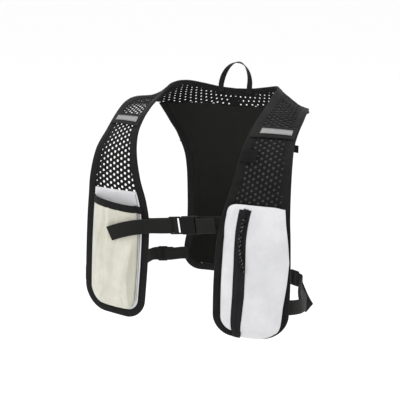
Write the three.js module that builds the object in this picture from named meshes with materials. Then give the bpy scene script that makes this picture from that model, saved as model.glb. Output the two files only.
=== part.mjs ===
// Running hydration vest, in millimetres. +X is the wearer's left, -Y the front and +Z up.
// The origin lies midway between the shoulder straps, level with their armhole edges,
// where the wearer's shoulders carry the vest.
import * as THREE from 'three';

// Overall sizes.
const CHEST_HALF = 145; // from the middle of the chest out to the armhole edge of a front panel
const CHEST_DEPTH = 165; // from the shoulders forward to the hem of the front panels
const FRONT_DROP = 268; // from the shoulders down to the hem of the front panels
const BACK_DEPTH = 50; // from the shoulders back to the middle of the back panel
const BACK_HALF = 112; // half the width of the back panel at the yoke seam
const BACK_DROP = 274; // from the shoulders down to the hem of the back panel
const NECK_RISE = 22; // how far the neck edge of a strap stands above its armhole edge

// Cloth, bindings and the space kept between pieces that touch.
const GAP = 0.35;
const MESH_CLOTH = 1.4;
const PANEL_CLOTH = 1.2;
const BACK_PAD = 3;
const BINDING_WIDTH = 10.5;
const BINDING_THICK = 3;
const STRAP_CROWN = 2.5; // how far the middle of a strap stands proud of its edges
const HEM_RADIUS_NECK = 27;
const HEM_RADIUS_ARM = 34;
const BACK_HEM_RADIUS = 26;

// Front panels and pockets. Heights are measured up from the hem along the panel.
const PANEL_HEIGHT = 169;
const ZIP_POCKET_DEPTH = 13;
const ZIP_TOP_MARGIN = 5;
const ZIP_TAPE_THICK = 0.8;
const FLASK_POCKET_HEIGHT = 158;
const FLASK_POCKET_DEPTH = 11;
const FLASK_BINDING_HEIGHT = 10;
const FLASK_BINDING_THICK = 2;
const FLASK_MOUTH_SLANT = 8; // how much higher the mouth of the flask pocket lies at its armhole side
const SIDE_ZIP_WIDTH = 3;
const BACK_POCKET_DEPTH = 14;
const BACK_POCKET_TOP = 52; // from the shoulders down to the mouth of the back pocket
const BACK_POCKET_BINDING = 10;
const BACK_LOOP_REACH = 38; // from a loop's stitching to its end
const BACK_LOOP_WIDTH = 11;
const YOKE_TAPE_WIDTH = 10.8;
const THIN_WEBBING = 1.2; // the loops and the hose flap

// Webbing, tapes and hard parts.
const WEBBING_WIDTH = 20;
const WEBBING_THICK = 1.4;
const CROSS_WEBBING_HEIGHT = 21;
const REFLECTIVE_HEIGHT = 9.5;
const TAPE_THICK = 0.6;
const STRIP_LEVEL = 271; // from the hem up to the middle of the reflective tape
const LOCK_BAR = 2.4;
const LOCK_SLOT = 3.6;
const LOCK_THICK = 2.4;
const LOCK_RIM = 1.4; // beside the webbing, at each end of a slot
const BUCKLE_MIDDLE_BAR = 6;
const BUCKLE_BODY_LENGTH = 20;
const BUCKLE_THICK = 6;
const CHEST_LEVEL_RIGHT = 129; // from the hem up to the chest strap on the right panel
const CHEST_LEVEL_LEFT = 143;
const CHEST_WEBBING_LEFT = 26; // from the left panel's edge to the buckle
const CHEST_TAIL_REACH = 0.51; // share of the right panel that the tail crosses
const CHEST_TAIL_DROP = 14; // how much lower the end of the tail lies
const SIDE_LEVEL = 44; // from the hem up to the side strap on a front panel
const SIDE_LEVEL_BACK = 248; // from the shoulders down to the side strap on the back panel
const SIDE_BOW = 16; // how far a side strap stands out from its straight line
const SIDE_TAB_REACH = 37; // from the back panel's edge to the ladder lock
const SIDE_TAIL_LENGTH = 56;
const SIDE_LOCK_SAG = { left: 8, right: 1 }; // how much lower each lock hangs than its tab is sewn
const GRAB_LOOP_WIDTH = 8;
const GRAB_LOOP_HALF = 21.5;
const GRAB_LOOP_HEIGHT = 36;
const GRAB_LOOP_LEAN = 4; // how far its top leans to the wearer's left
const PULL_CORD_DIAMETER = 4;
const SLIDER_THICK = 2;
const HOSE_FLAP_LEVEL = 226; // from the hem up to its lower edge
const HOSE_FLAP_HEIGHT = 16;
const HOSE_FLAP_WIDTH = 20;
const FOLD_REACH = 12; // how far webbing lies doubled beyond the bar that it turns round

// One row for each section of a front strap, from the hem up to the shoulder seam: where its neck edge
// and its armhole edge lie, as shares of CHEST_HALF outward, CHEST_DEPTH forward and FRONT_DROP upward,
// and how far its middle stands proud, as a share of STRAP_CROWN.
const STRAP_SECTIONS = [
  { neckOut: 0.345, neckFore: 1.006, neckUp: -1.0, armOut: 0.993, armFore: 0.909, armUp: -1.0, crown: 1 },
  { neckOut: 0.331, neckFore: 0.988, neckUp: -0.888, armOut: 1.0, armFore: 0.897, armUp: -0.888, crown: 1 },
  { neckOut: 0.321, neckFore: 0.945, neckUp: -0.709, armOut: 0.997, armFore: 0.873, armUp: -0.709, crown: 1 },
  { neckOut: 0.328, neckFore: 0.891, neckUp: -0.522, armOut: 0.981, armFore: 0.855, armUp: -0.522, crown: 1 },
  { neckOut: 0.366, neckFore: 0.864, neckUp: -0.411, armOut: 0.966, armFore: 0.842, armUp: -0.411, crown: 1 },
  { neckOut: 0.428, neckFore: 0.852, neckUp: -0.299, armOut: 0.955, armFore: 0.815, armUp: -0.299, crown: 1 },
  { neckOut: 0.476, neckFore: 0.818, neckUp: -0.183, armOut: 0.934, armFore: 0.736, armUp: -0.186, crown: 1 },
  { neckOut: 0.503, neckFore: 0.742, neckUp: -0.094, armOut: 0.903, armFore: 0.600, armUp: -0.108, crown: 0.9 },
  { neckOut: 0.517, neckFore: 0.612, neckUp: -0.035, armOut: 0.897, armFore: 0.473, armUp: -0.056, crown: 0.3 },
  { neckOut: 0.528, neckFore: 0.436, neckUp: 0.009, armOut: 0.897, armFore: 0.333, armUp: -0.015, crown: -0.8 },
  { neckOut: 0.528, neckFore: 0.242, neckUp: 0.043, armOut: 0.886, armFore: 0.224, armUp: 0.004, crown: -1.8 },
  { neckOut: 0.526, neckFore: 0.073, neckUp: 0.076, armOut: 0.869, armFore: 0.121, armUp: 0.006, crown: -2.2 },
];

// The yoke goes on from the shoulder seam to the middle of the back: its neckline above, and below it
// first the armhole edge and then the seam to the back panel. Shares of CHEST_HALF outward, BACK_DEPTH
// backward and NECK_RISE upward.
const YOKE_SECTIONS = [
  { neckOut: 0.524, neckBack: 0.06, neckUp: 1.01, lowOut: 0.838, lowBack: 0.02, lowUp: -0.05, crown: -2.0 },
  { neckOut: 0.490, neckBack: 0.40, neckUp: 1.02, lowOut: 0.810, lowBack: 0.30, lowUp: -0.27, crown: -1.0 },
  { neckOut: 0.428, neckBack: 0.72, neckUp: 0.91, lowOut: 0.772, lowBack: 0.54, lowUp: -0.59, crown: 0.2 },
  { neckOut: 0.317, neckBack: 0.92, neckUp: 0.73, lowOut: 0.538, lowBack: 0.75, lowUp: -0.59, crown: 0.5 },
  { neckOut: 0.166, neckBack: 1.00, neckUp: 0.55, lowOut: 0.276, lowBack: 0.89, lowUp: -0.59, crown: 0.5 },
  { neckOut: 0.0, neckBack: 1.02, neckUp: 0.48, lowOut: 0.0, lowBack: 0.94, lowUp: -0.59, crown: 0.5 },
];
const YOKE_CORNER = 2; // the yoke row where the armhole edge meets the seam

// The back panel, from the yoke seam down to its hem: shares of BACK_DROP downward, of BACK_HALF to its
// armhole edge, and of BACK_DEPTH backward at that edge and in the middle.
const BACK_SECTIONS = [
  { down: 0.050, half: 1.000, edgeBack: 0.54, middleBack: 0.94 },
  { down: 0.110, half: 0.924, edgeBack: 0.64, middleBack: 0.96 },
  { down: 0.161, half: 0.857, edgeBack: 0.69, middleBack: 0.98 },
  { down: 0.204, half: 0.790, edgeBack: 0.72, middleBack: 0.99 },
  { down: 0.245, half: 0.746, edgeBack: 0.74, middleBack: 1.00 },
  { down: 0.281, half: 0.710, edgeBack: 0.76, middleBack: 1.00 },
  { down: 0.328, half: 0.674, edgeBack: 0.77, middleBack: 1.00 },
  { down: 0.383, half: 0.655, edgeBack: 0.78, middleBack: 0.99 },
  { down: 0.456, half: 0.643, edgeBack: 0.78, middleBack: 0.98 },
  { down: 0.620, half: 0.639, edgeBack: 0.78, middleBack: 0.96 },
  { down: 0.774, half: 0.648, edgeBack: 0.76, middleBack: 0.92 },
  { down: 0.840, half: 0.674, edgeBack: 0.74, middleBack: 0.90 },
  { down: 0.895, half: 0.684, edgeBack: 0.72, middleBack: 0.88 },
  { down: 1.000, half: 0.684, edgeBack: 0.68, middleBack: 0.86 },
];

// How each front pocket rises: across it, from its neck side to its armhole side, and up it, from its
// bottom seam to its top. 'at' is a share of its width or height and 'rise' a share of its depth.
const ZIP_ACROSS = [
  { at: 0.005, rise: 0.0 },
  { at: 0.012, rise: 0.36 },
  { at: 0.065, rise: 0.70 },
  { at: 0.235, rise: 0.93 },
  { at: 0.405, rise: 0.99 },
  { at: 0.550, rise: 1.0 },
  { at: 0.720, rise: 0.96 },
  { at: 0.870, rise: 0.84 },
  { at: 0.975, rise: 0.64 },
  { at: 1.025, rise: 0.42 },
  { at: 0.995, rise: 0.18 },
  { at: 0.985, rise: 0.0 },
];
const FLASK_ACROSS = [
  { at: 0.004, rise: 0.0 },
  { at: 0.010, rise: 0.30 },
  { at: 0.050, rise: 0.55 },
  { at: 0.150, rise: 0.80 },
  { at: 0.320, rise: 0.96 },
  { at: 0.500, rise: 1.0 },
  { at: 0.680, rise: 0.92 },
  { at: 0.840, rise: 0.68 },
  { at: 0.940, rise: 0.36 },
  { at: 0.985, rise: 0.0 },
];
const ZIP_FROM = 3; // the columns of ZIP_ACROSS between which the zip tape runs
const ZIP_TO = 4;
const ZIP_POCKET_UP = [
  { at: 0.012, rise: 0.0 },
  { at: 0.012, rise: 0.18 },
  { at: -0.046, rise: 0.44 },
  { at: -0.040, rise: 0.66 },
  { at: 0.02, rise: 0.88 },
  { at: 0.12, rise: 0.97 },
  { at: 0.26, rise: 1.0 },
  { at: 0.42, rise: 1.0 },
  { at: 0.58, rise: 0.97 },
  { at: 0.74, rise: 0.88 },
  { at: 0.86, rise: 0.70 },
  { at: 0.94, rise: 0.47 },
  { at: 0.985, rise: 0.22 },
  { at: 1.0, rise: 0.0 },
];
const FLASK_POCKET_UP = [
  { at: 0.006, rise: 0.0 },
  { at: 0.006, rise: 0.2 },
  { at: 0.020, rise: 0.4 },
  { at: 0.07, rise: 0.6 },
  { at: 0.16, rise: 0.75 },
  { at: 0.30, rise: 0.84 },
  { at: 0.46, rise: 0.88 },
  { at: 0.62, rise: 0.92 },
  { at: 0.78, rise: 0.96 },
  { at: 0.90, rise: 1.0 },
  { at: 1.0, rise: 1.0 },
];

// A side strap between a front panel and its ladder lock: shares of the way, and of SIDE_BOW outward
// and down.
const SIDE_STRAP_PATH = [
  { along: 0.035, out: 0.42, down: 0.0 },
  { along: 0.12, out: 0.85, down: 0.05 },
  { along: 0.27, out: 1.02, down: 0.18 },
  { along: 0.48, out: 0.78, down: 0.42 },
  { along: 0.70, out: 0.36, down: 0.45 },
  { along: 0.86, out: 0.08, down: 0.25 },
];
// The free end of each side strap: its direction outward, forward and down, and how far the upper edge
// of its end leans outward.
const SIDE_TAILS = {
  left: { out: 0.45, fore: 0.77, down: 0.45, lean: 0.5 },
  right: { out: 0.50, fore: 0.85, down: 0.12, lean: 0.1 },
};

// The zip pull's cord hangs from the slider down the zip tape and swings out at its end: distances
// from the hem up the panel, shares across it, and how far it lies off the pocket.
const PULL_CORD_ROUTE = [
  { up: 155, across: 0.335, off: 3.6 },
  { up: 149, across: 0.338, off: 3.4 },
  { up: 141, across: 0.325, off: 3.2 },
  { up: 132, across: 0.318, off: 3.2 },
  { up: 123, across: 0.330, off: 3.2 },
  { up: 114, across: 0.350, off: 3.2 },
  { up: 105, across: 0.366, off: 3.2 },
  { up: 97, across: 0.385, off: 3.4 },
  { up: 91, across: 0.420, off: 3.8 },
];

const vest = new THREE.Group();

const finish = (color, roughness, metalness = 0) => new THREE.MeshStandardMaterial({ color, roughness, metalness });
const BLACK_MESH = { color: 0x232324, roughness: 0.9 };
const BLACK_CLOTH = { color: 0x1e1e1f, roughness: 0.9 };
const BINDING = { color: 0x2a2a2b, roughness: 0.85 };
const WEBBING = { color: 0x252523, roughness: 0.8 };
const WHITE_CLOTH = { color: 0xe3e3e7, roughness: 0.7 };
const CREAM_CLOTH = { color: 0xe2e1d2, roughness: 0.6 };
const REFLECTIVE = { color: 0xa2a2a2, roughness: 0.45 };
const ZIP_BLACK = { color: 0x232326, roughness: 0.6 };
const PLASTIC = { color: 0x1d1d1e, roughness: 0.45 };

function add(name, geometry, look) {
  const mesh = new THREE.Mesh(geometry, finish(look.color, look.roughness));
  mesh.name = name;
  vest.add(mesh);
  return mesh;
}

const mix = (a, b, share) => a.clone().lerp(b, share);
const step = (point, direction, distance) => point.clone().addScaledVector(direction, distance);
const BACKWARD = new THREE.Vector3(0, 1, 0);

// The direction square to a grid of points at one of them.
function gridNormal(grid, i, j) {
  const down = grid[Math.min(i + 1, grid.length - 1)][j].clone().sub(grid[Math.max(i - 1, 0)][j]);
  const row = grid[i];
  const across = row[Math.min(j + 1, row.length - 1)].clone().sub(row[Math.max(j - 1, 0)]);
  return down.cross(across).normalize();
}

// A closed sheet of cloth: a grid of points on its middle surface, thickened from 'low' to 'high'
// towards the side that 'outward' names at the middle of the grid.
function sheet(grid, low, high, outward) {
  const rows = grid.length;
  const columns = grid[0].length;
  const middle = gridNormal(grid, Math.floor(rows / 2), Math.floor(columns / 2));
  const turned = middle.dot(outward) < 0;
  const positions = [];
  for (const height of [high, low]) {
    for (let i = 0; i < rows; i++) {
      for (let j = 0; j < columns; j++) {
        const p = step(grid[i][j], gridNormal(grid, i, j), turned ? -height : height);
        positions.push(p.x, p.y, p.z);
      }
    }
  }
  const top = (i, j) => i * columns + j;
  const bottom = (i, j) => rows * columns + i * columns + j;
  const faces = [];
  const quad = (a, b, c, d) => faces.push(a, b, c, a, c, d);
  for (let i = 0; i < rows - 1; i++) {
    for (let j = 0; j < columns - 1; j++) {
      quad(top(i, j), top(i + 1, j), top(i + 1, j + 1), top(i, j + 1));
      quad(bottom(i, j), bottom(i, j + 1), bottom(i + 1, j + 1), bottom(i + 1, j));
    }
    quad(top(i, 0), bottom(i, 0), bottom(i + 1, 0), top(i + 1, 0));
    quad(top(i + 1, columns - 1), bottom(i + 1, columns - 1), bottom(i, columns - 1), top(i, columns - 1));
  }
  for (let j = 0; j < columns - 1; j++) {
    quad(top(0, j + 1), bottom(0, j + 1), bottom(0, j), top(0, j));
    quad(top(rows - 1, j), bottom(rows - 1, j), bottom(rows - 1, j + 1), top(rows - 1, j + 1));
  }
  if (turned) faces.reverse();
  const geometry = new THREE.BufferGeometry();
  geometry.setAttribute('position', new THREE.Float32BufferAttribute(positions, 3));
  geometry.setIndex(faces);
  return geometry;
}

// The neck edge and the armhole edge of one side, from the hem over the shoulder to the middle of the
// back. side is 1 on the wearer's left and -1 on the right.
function edgesOf(side) {
  const front = (row, edge) => new THREE.Vector3(
    side * row[edge + 'Out'] * CHEST_HALF, -row[edge + 'Fore'] * CHEST_DEPTH, row[edge + 'Up'] * FRONT_DROP);
  const back = (row, edge) => new THREE.Vector3(
    side * row[edge + 'Out'] * CHEST_HALF, row[edge + 'Back'] * BACK_DEPTH, row[edge + 'Up'] * NECK_RISE);
  const curve = (frontEdge, backEdge) => new THREE.CatmullRomCurve3([
    ...STRAP_SECTIONS.map((row) => front(row, frontEdge)),
    ...YOKE_SECTIONS.map((row) => back(row, backEdge)),
  ], false, 'catmullrom', 0.5);
  return { neck: curve('neck', 'neck'), arm: curve('arm', 'low') };
}
const EDGES = { 1: edgesOf(1), '-1': edgesOf(-1) };
const SECTION_STEPS = STRAP_SECTIONS.length + YOKE_SECTIONS.length - 1;
const SEAM = (STRAP_SECTIONS.length - 1) / SECTION_STEPS;
const CORNER = (STRAP_SECTIONS.length + YOKE_CORNER) / SECTION_STEPS;

// The length of the strap's middle line from the hem up, in small steps, to turn a distance into a
// place on the edge curves.
const LINE_STEPS = 600;
const lineLengths = [0];
for (let k = 1; k <= LINE_STEPS; k++) {
  const middle = (t) => mix(EDGES[1].neck.getPoint(t), EDGES[1].arm.getPoint(t), 0.5);
  lineLengths.push(lineLengths[k - 1] + middle((k - 1) / LINE_STEPS).distanceTo(middle(k / LINE_STEPS)));
}
function placeAt(up) {
  const k = Math.max(1, lineLengths.findIndex((length) => length >= up));
  const share = (up - lineLengths[k - 1]) / (lineLengths[k] - lineLengths[k - 1]);
  return (k - 1 + share) / LINE_STEPS;
}
const lengthAt = (t) => lineLengths[Math.round(t * LINE_STEPS)];
const STRAP_LENGTH = lengthAt(SEAM);

// A point of one side's strap: t along it, 'across' from the neck edge (0) to the armhole edge (1), and
// 'lift' outward from its middle surface.
function strapPoint(side, t, across, lift = 0) {
  const { neck, arm } = EDGES[side];
  const from = neck.getPoint(t);
  const to = arm.getPoint(t);
  const crown = STRAP_CROWN * crownAt(t) * 4 * across * (1 - across);
  return step(mix(from, to, across), strapNormal(side, t, across), crown + lift);
}
function strapNormal(side, t, across) {
  const { neck, arm } = EDGES[side];
  const width = arm.getPoint(t).sub(neck.getPoint(t));
  const along = mix(neck.getTangent(t), arm.getTangent(t), across);
  return width.cross(along).normalize().multiplyScalar(side);
}
const CROWNS = [...STRAP_SECTIONS, ...YOKE_SECTIONS].map((row) => row.crown);
function crownAt(t) {
  const k = Math.min(Math.floor(t * SECTION_STEPS), SECTION_STEPS - 1);
  return CROWNS[k] + (CROWNS[k + 1] - CROWNS[k]) * THREE.MathUtils.smoothstep(t * SECTION_STEPS - k, 0, 1);
}
const widthAt = (t) => EDGES[1].neck.getPoint(t).distanceTo(EDGES[1].arm.getPoint(t));
const fromNeck = (t, distance) => distance / widthAt(t);
const fromArm = (t, distance) => 1 - distance / widthAt(t);

// How far a rounded corner cuts in from a straight edge, 'up' above the hem.
function cornerCut(up, radius) {
  const below = Math.max(0, radius - Math.max(0, up));
  return radius - Math.sqrt(radius * radius - below * below);
}

// A grid on a front panel between its edges, each set in by 'inset' and by its own extra distance.
function panelGrid(side, ups, columns, inset, extraNeck = 0, extraArm = 0, lift = () => 0) {
  return ups.map((up) => {
    const t = placeAt(up);
    const first = fromNeck(t, inset + extraNeck + cornerCut(up - inset, HEM_RADIUS_NECK - inset));
    const last = fromArm(t, inset + extraArm + cornerCut(up - inset, HEM_RADIUS_ARM - inset));
    return columns.map((share) => strapPoint(side, t, first + (last - first) * share, lift(up, share)));
  });
}
const evenly = (count, from = 0, to = 1) =>
  Array.from({ length: count + 1 }, (_, k) => from + ((to - from) * k) / count);
// Rows from a rounded hem up: closer together round the corners.
const hemRows = (from, to, count) => evenly(count).map((share) => from + (to - from) * share ** 1.7);

const SIDES = [{ side: 1, word: 'left' }, { side: -1, word: 'right' }];
const outwardOf = (side, ups) => strapNormal(side, placeAt(ups[Math.floor(ups.length / 2)]), 0.5);

const BINDING_INSET = BINDING_WIDTH + GAP;

function frontStrap({ side, word }) {
  const meshUps = evenly(26, PANEL_HEIGHT + GAP, STRAP_LENGTH - GAP / 2);
  const mesh = meshUps.map((up) => {
    const t = placeAt(up);
    return evenly(4).map((share) => {
      const first = fromNeck(t, BINDING_INSET);
      return strapPoint(side, t, first + (fromArm(t, BINDING_INSET) - first) * share);
    });
  });
  add(`strap_mesh_${word}`, sheet(mesh, -MESH_CLOTH / 2, MESH_CLOTH / 2, outwardOf(side, meshUps)), BLACK_MESH);

  const panelUps = hemRows(BINDING_INSET, PANEL_HEIGHT, 14);
  const panel = panelGrid(side, panelUps, evenly(6), BINDING_INSET);
  const look = side > 0 ? BLACK_CLOTH : WHITE_CLOTH;
  add(`front_panel_${word}`, sheet(panel, -PANEL_CLOTH / 2, PANEL_CLOTH / 2, outwardOf(side, panelUps)), look);
}

function frontBinding({ side, word }) {
  const half = BINDING_THICK / 2;
  const edge = (name, fromUp, columnsAt) => {
    const ups = evenly(30, fromUp + GAP / 2, STRAP_LENGTH - GAP / 2);
    const grid = ups.map((up) => columnsAt(placeAt(up)).map((across) => strapPoint(side, placeAt(up), across)));
    add(name, sheet(grid, -half, half, outwardOf(side, ups)), BINDING);
  };
  edge(`binding_neck_${word}`, HEM_RADIUS_NECK, (t) => [0, fromNeck(t, BINDING_WIDTH)]);
  edge(`binding_arm_${word}`, HEM_RADIUS_ARM, (t) => [fromArm(t, BINDING_WIDTH), 1]);

  // Round the hem: down the neck corner, along the hem and up the armhole corner.
  const path = [];
  const corner = (radius, place, turns) => turns.map((turn) => [radius, radius - BINDING_WIDTH].map((r) => {
    const up = radius - r * Math.sin(turn);
    const t = placeAt(up);
    return strapPoint(side, t, place(t, radius - r * Math.cos(turn)));
  }));
  path.push(...corner(HEM_RADIUS_NECK, fromNeck, evenly(7, 0, Math.PI / 2)));
  const neckEnd = fromNeck(0, HEM_RADIUS_NECK);
  const armEnd = fromArm(0, HEM_RADIUS_ARM);
  for (const share of [0.25, 0.5, 0.75]) {
    const across = neckEnd + (armEnd - neckEnd) * share;
    path.push([0, BINDING_WIDTH].map((up) => strapPoint(side, placeAt(up), across)));
  }
  path.push(...corner(HEM_RADIUS_ARM, fromArm, evenly(7, Math.PI / 2, 0)));
  add(`binding_hem_${word}`, sheet(path, -half, half, strapNormal(side, 0, 0.5)), BINDING);
}

// A webbing sewn across the strap with the reflective tape on it.
function crossTapes({ side, word }) {
  const bar = (name, height, inset, low, high, look) => {
    const ups = evenly(4, STRIP_LEVEL - height / 2, STRIP_LEVEL + height / 2);
    const grid = ups.map((up) => {
      const t = placeAt(up);
      return evenly(8, fromNeck(t, inset), fromArm(t, inset)).map((across) => strapPoint(side, t, across));
    });
    add(name, sheet(grid, low, high, outwardOf(side, ups)), look);
  };
  const webbingLow = BINDING_THICK / 2 + GAP;
  const tapeLow = webbingLow + 1 + GAP;
  bar(`cross_webbing_${word}`, CROSS_WEBBING_HEIGHT, BINDING_WIDTH * 0.3, webbingLow, webbingLow + 1, WEBBING);
  bar(`reflective_tape_${word}`, REFLECTIVE_HEIGHT, BINDING_WIDTH * 0.72, tapeLow, tapeLow + TAPE_THICK, REFLECTIVE);
}

// The middle surface of a pocket's wall: 'column' is a row of ZIP_ACROSS, 'rise' how full it is
// there, and the rim clears the panel behind it.
const POCKET_RIM = PANEL_CLOTH / 2 + GAP + PANEL_CLOTH / 2;
const POCKET_INSET = BINDING_INSET + PANEL_CLOTH / 2;
function pocketPoint(side, pocket, row, column, lift = 0) {
  const bottom = POCKET_INSET;
  const nominal = bottom + (pocket.height - bottom) * Math.max(0, row.at);
  const share = Math.max(0, row.at) + Math.min(0, row.at) * column.rise;
  const up = bottom + (pocket.height - bottom + pocket.slant * (column.at - 0.5)) * share;
  const tWidth = placeAt(nominal);
  const first = fromNeck(tWidth, bottom + pocket.neckMargin + cornerCut(nominal - bottom, HEM_RADIUS_NECK - bottom));
  const last = fromArm(tWidth, bottom + cornerCut(nominal - bottom, HEM_RADIUS_ARM - bottom));
  const across = first + (last - first) * (Math.min(1, column.at) + Math.max(0, column.at - 1) * row.rise);
  return strapPoint(side, placeAt(Math.max(0, up)), across, POCKET_RIM + pocket.depth * row.rise * column.rise + lift);
}
const ZIP_POCKET = { height: PANEL_HEIGHT, depth: ZIP_POCKET_DEPTH, neckMargin: 0, slant: 0, up: ZIP_POCKET_UP };
const FLASK_POCKET = {
  height: FLASK_POCKET_HEIGHT, depth: FLASK_POCKET_DEPTH, neckMargin: SIDE_ZIP_WIDTH + 2 * GAP,
  slant: FLASK_MOUTH_SLANT, up: FLASK_POCKET_UP,
};

// A pocket's row at a given height, between the rows of its table.
function pocketRow(pocket, up) {
  const at = (up - POCKET_INSET) / (pocket.height - POCKET_INSET);
  const next = Math.max(1, pocket.up.findIndex((row, k) => k > 3 && row.at >= at));
  const [a, b] = [pocket.up[next - 1], pocket.up[next]];
  return { at, rise: a.rise + ((b.rise - a.rise) * (at - a.at)) / (b.at - a.at) };
}
function pocketColumn(columns, at) {
  const next = columns.findIndex((column, k) => k > 0 && column.at >= at);
  const [a, b] = [columns[next - 1], columns[next]];
  return { at, rise: a.rise + ((b.rise - a.rise) * (at - a.at)) / (b.at - a.at) };
}

function zipPocket() {
  const side = 1;
  const outward = strapNormal(side, placeAt(PANEL_HEIGHT / 2), 0.5);
  const wall = ZIP_POCKET.up.map((row) => ZIP_ACROSS.map((column) => pocketPoint(side, ZIP_POCKET, row, column)));
  const half = PANEL_CLOTH / 2;
  add('zip_pocket_left', sheet(wall, -half, half, outward), WHITE_CLOTH);

  // The zip tape runs over the wall from its bottom edge up to a margin below the top seam.
  const top = pocketRow(ZIP_POCKET, PANEL_HEIGHT - ZIP_TOP_MARGIN);
  const rows = [...ZIP_POCKET.up.filter((row, k) => k > 2 && row.at < top.at), top];
  const columns = ZIP_ACROSS.slice(ZIP_FROM, ZIP_TO + 1);
  const tape = rows.map((row) => columns.map((column) => pocketPoint(side, ZIP_POCKET, row, column)));
  const low = half + GAP;
  add('zip_tape_left', sheet(tape, low, low + ZIP_TAPE_THICK, outward), ZIP_BLACK);

  // The slider sits on the tape near its top, with the cord of its pull hanging from it.
  const slider = new THREE.Shape([[-3.4, 5], [-2.2, -4], [-1.2, -6], [1.2, -6], [2.2, -4], [3.4, 5]].map(
    ([x, y]) => new THREE.Vector2(x, y)));
  const sliderUp = PULL_CORD_ROUTE[0].up + 6.5;
  const middle = (ZIP_ACROSS[ZIP_FROM].at + ZIP_ACROSS[ZIP_TO].at) / 2;
  const seat = (up, at, off) => pocketPoint(side, ZIP_POCKET, pocketRow(ZIP_POCKET, up), pocketColumn(ZIP_ACROSS, at), off);
  const at = seat(sliderUp, middle, low + ZIP_TAPE_THICK + GAP + 0.6);
  const upward = seat(sliderUp + 4, middle, 0).sub(seat(sliderUp - 4, middle, 0)).normalize();
  const outward3 = strapNormal(side, placeAt(sliderUp), 0.4);
  const body = new THREE.ExtrudeGeometry(slider, { depth: SLIDER_THICK, bevelEnabled: false });
  setFrame(add('zip_slider_left', body, ZIP_BLACK), at, upward, outward3);

  const route = PULL_CORD_ROUTE.map(({ up, across, off }) => seat(up, across, half + off + 0.3));
  const line = new THREE.CatmullRomCurve3(route, false, 'catmullrom', 0.5);
  const round = new THREE.Shape(evenly(7, 0, (2 * Math.PI * 7) / 8).map(
    (turn) => new THREE.Vector2(Math.cos(turn), Math.sin(turn)).multiplyScalar(PULL_CORD_DIAMETER / 2)));
  const cord = new THREE.ExtrudeGeometry(round, { steps: 22, bevelEnabled: false, extrudePath: line });
  add('zip_pull_cord', cord, ZIP_BLACK);
}

// Turns and moves a flat hard part: its Y along 'upward' and its Z along 'outward'.
function setFrame(mesh, at, upward, outward) {
  const z = outward.clone().addScaledVector(upward, -outward.dot(upward)).normalize();
  const x = upward.clone().cross(z).normalize();
  mesh.quaternion.setFromRotationMatrix(new THREE.Matrix4().makeBasis(x, upward.clone().normalize(), z));
  mesh.position.copy(at);
}

function flaskPocket() {
  const side = -1;
  const outward = strapNormal(side, placeAt(FLASK_POCKET_HEIGHT / 2), 0.5);
  const half = PANEL_CLOTH / 2;
  const bindingLow = FLASK_POCKET_HEIGHT - FLASK_BINDING_HEIGHT;
  const wallTop = pocketRow(FLASK_POCKET, bindingLow - GAP);
  const rows = [...FLASK_POCKET.up.filter((row) => row.at < wallTop.at), wallTop];
  const grid = (list) => list.map((row) => FLASK_ACROSS.map((column) => pocketPoint(side, FLASK_POCKET, row, column)));
  add('flask_pocket_right', sheet(grid(rows), -half, half, outward), CREAM_CLOTH);
  const bindingRows = evenly(2, bindingLow, FLASK_POCKET_HEIGHT).map((up) => pocketRow(FLASK_POCKET, up));
  add('flask_pocket_binding', sheet(grid(bindingRows), -half, FLASK_BINDING_THICK - half, outward), BINDING);

  // The zip beside the flask pocket, on the panel behind it.
  const ups = evenly(14, HEM_RADIUS_NECK, PANEL_HEIGHT - GAP);
  const low = PANEL_CLOTH / 2 + GAP;
  const strip = ups.map((up) => {
    const t = placeAt(up);
    return [BINDING_INSET, BINDING_INSET + SIDE_ZIP_WIDTH].map((d) => strapPoint(side, t, fromNeck(t, d)));
  });
  add('side_zip_right', sheet(strip, low, low + ZIP_TAPE_THICK, outwardOf(side, ups)), WHITE_CLOTH);
}

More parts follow.
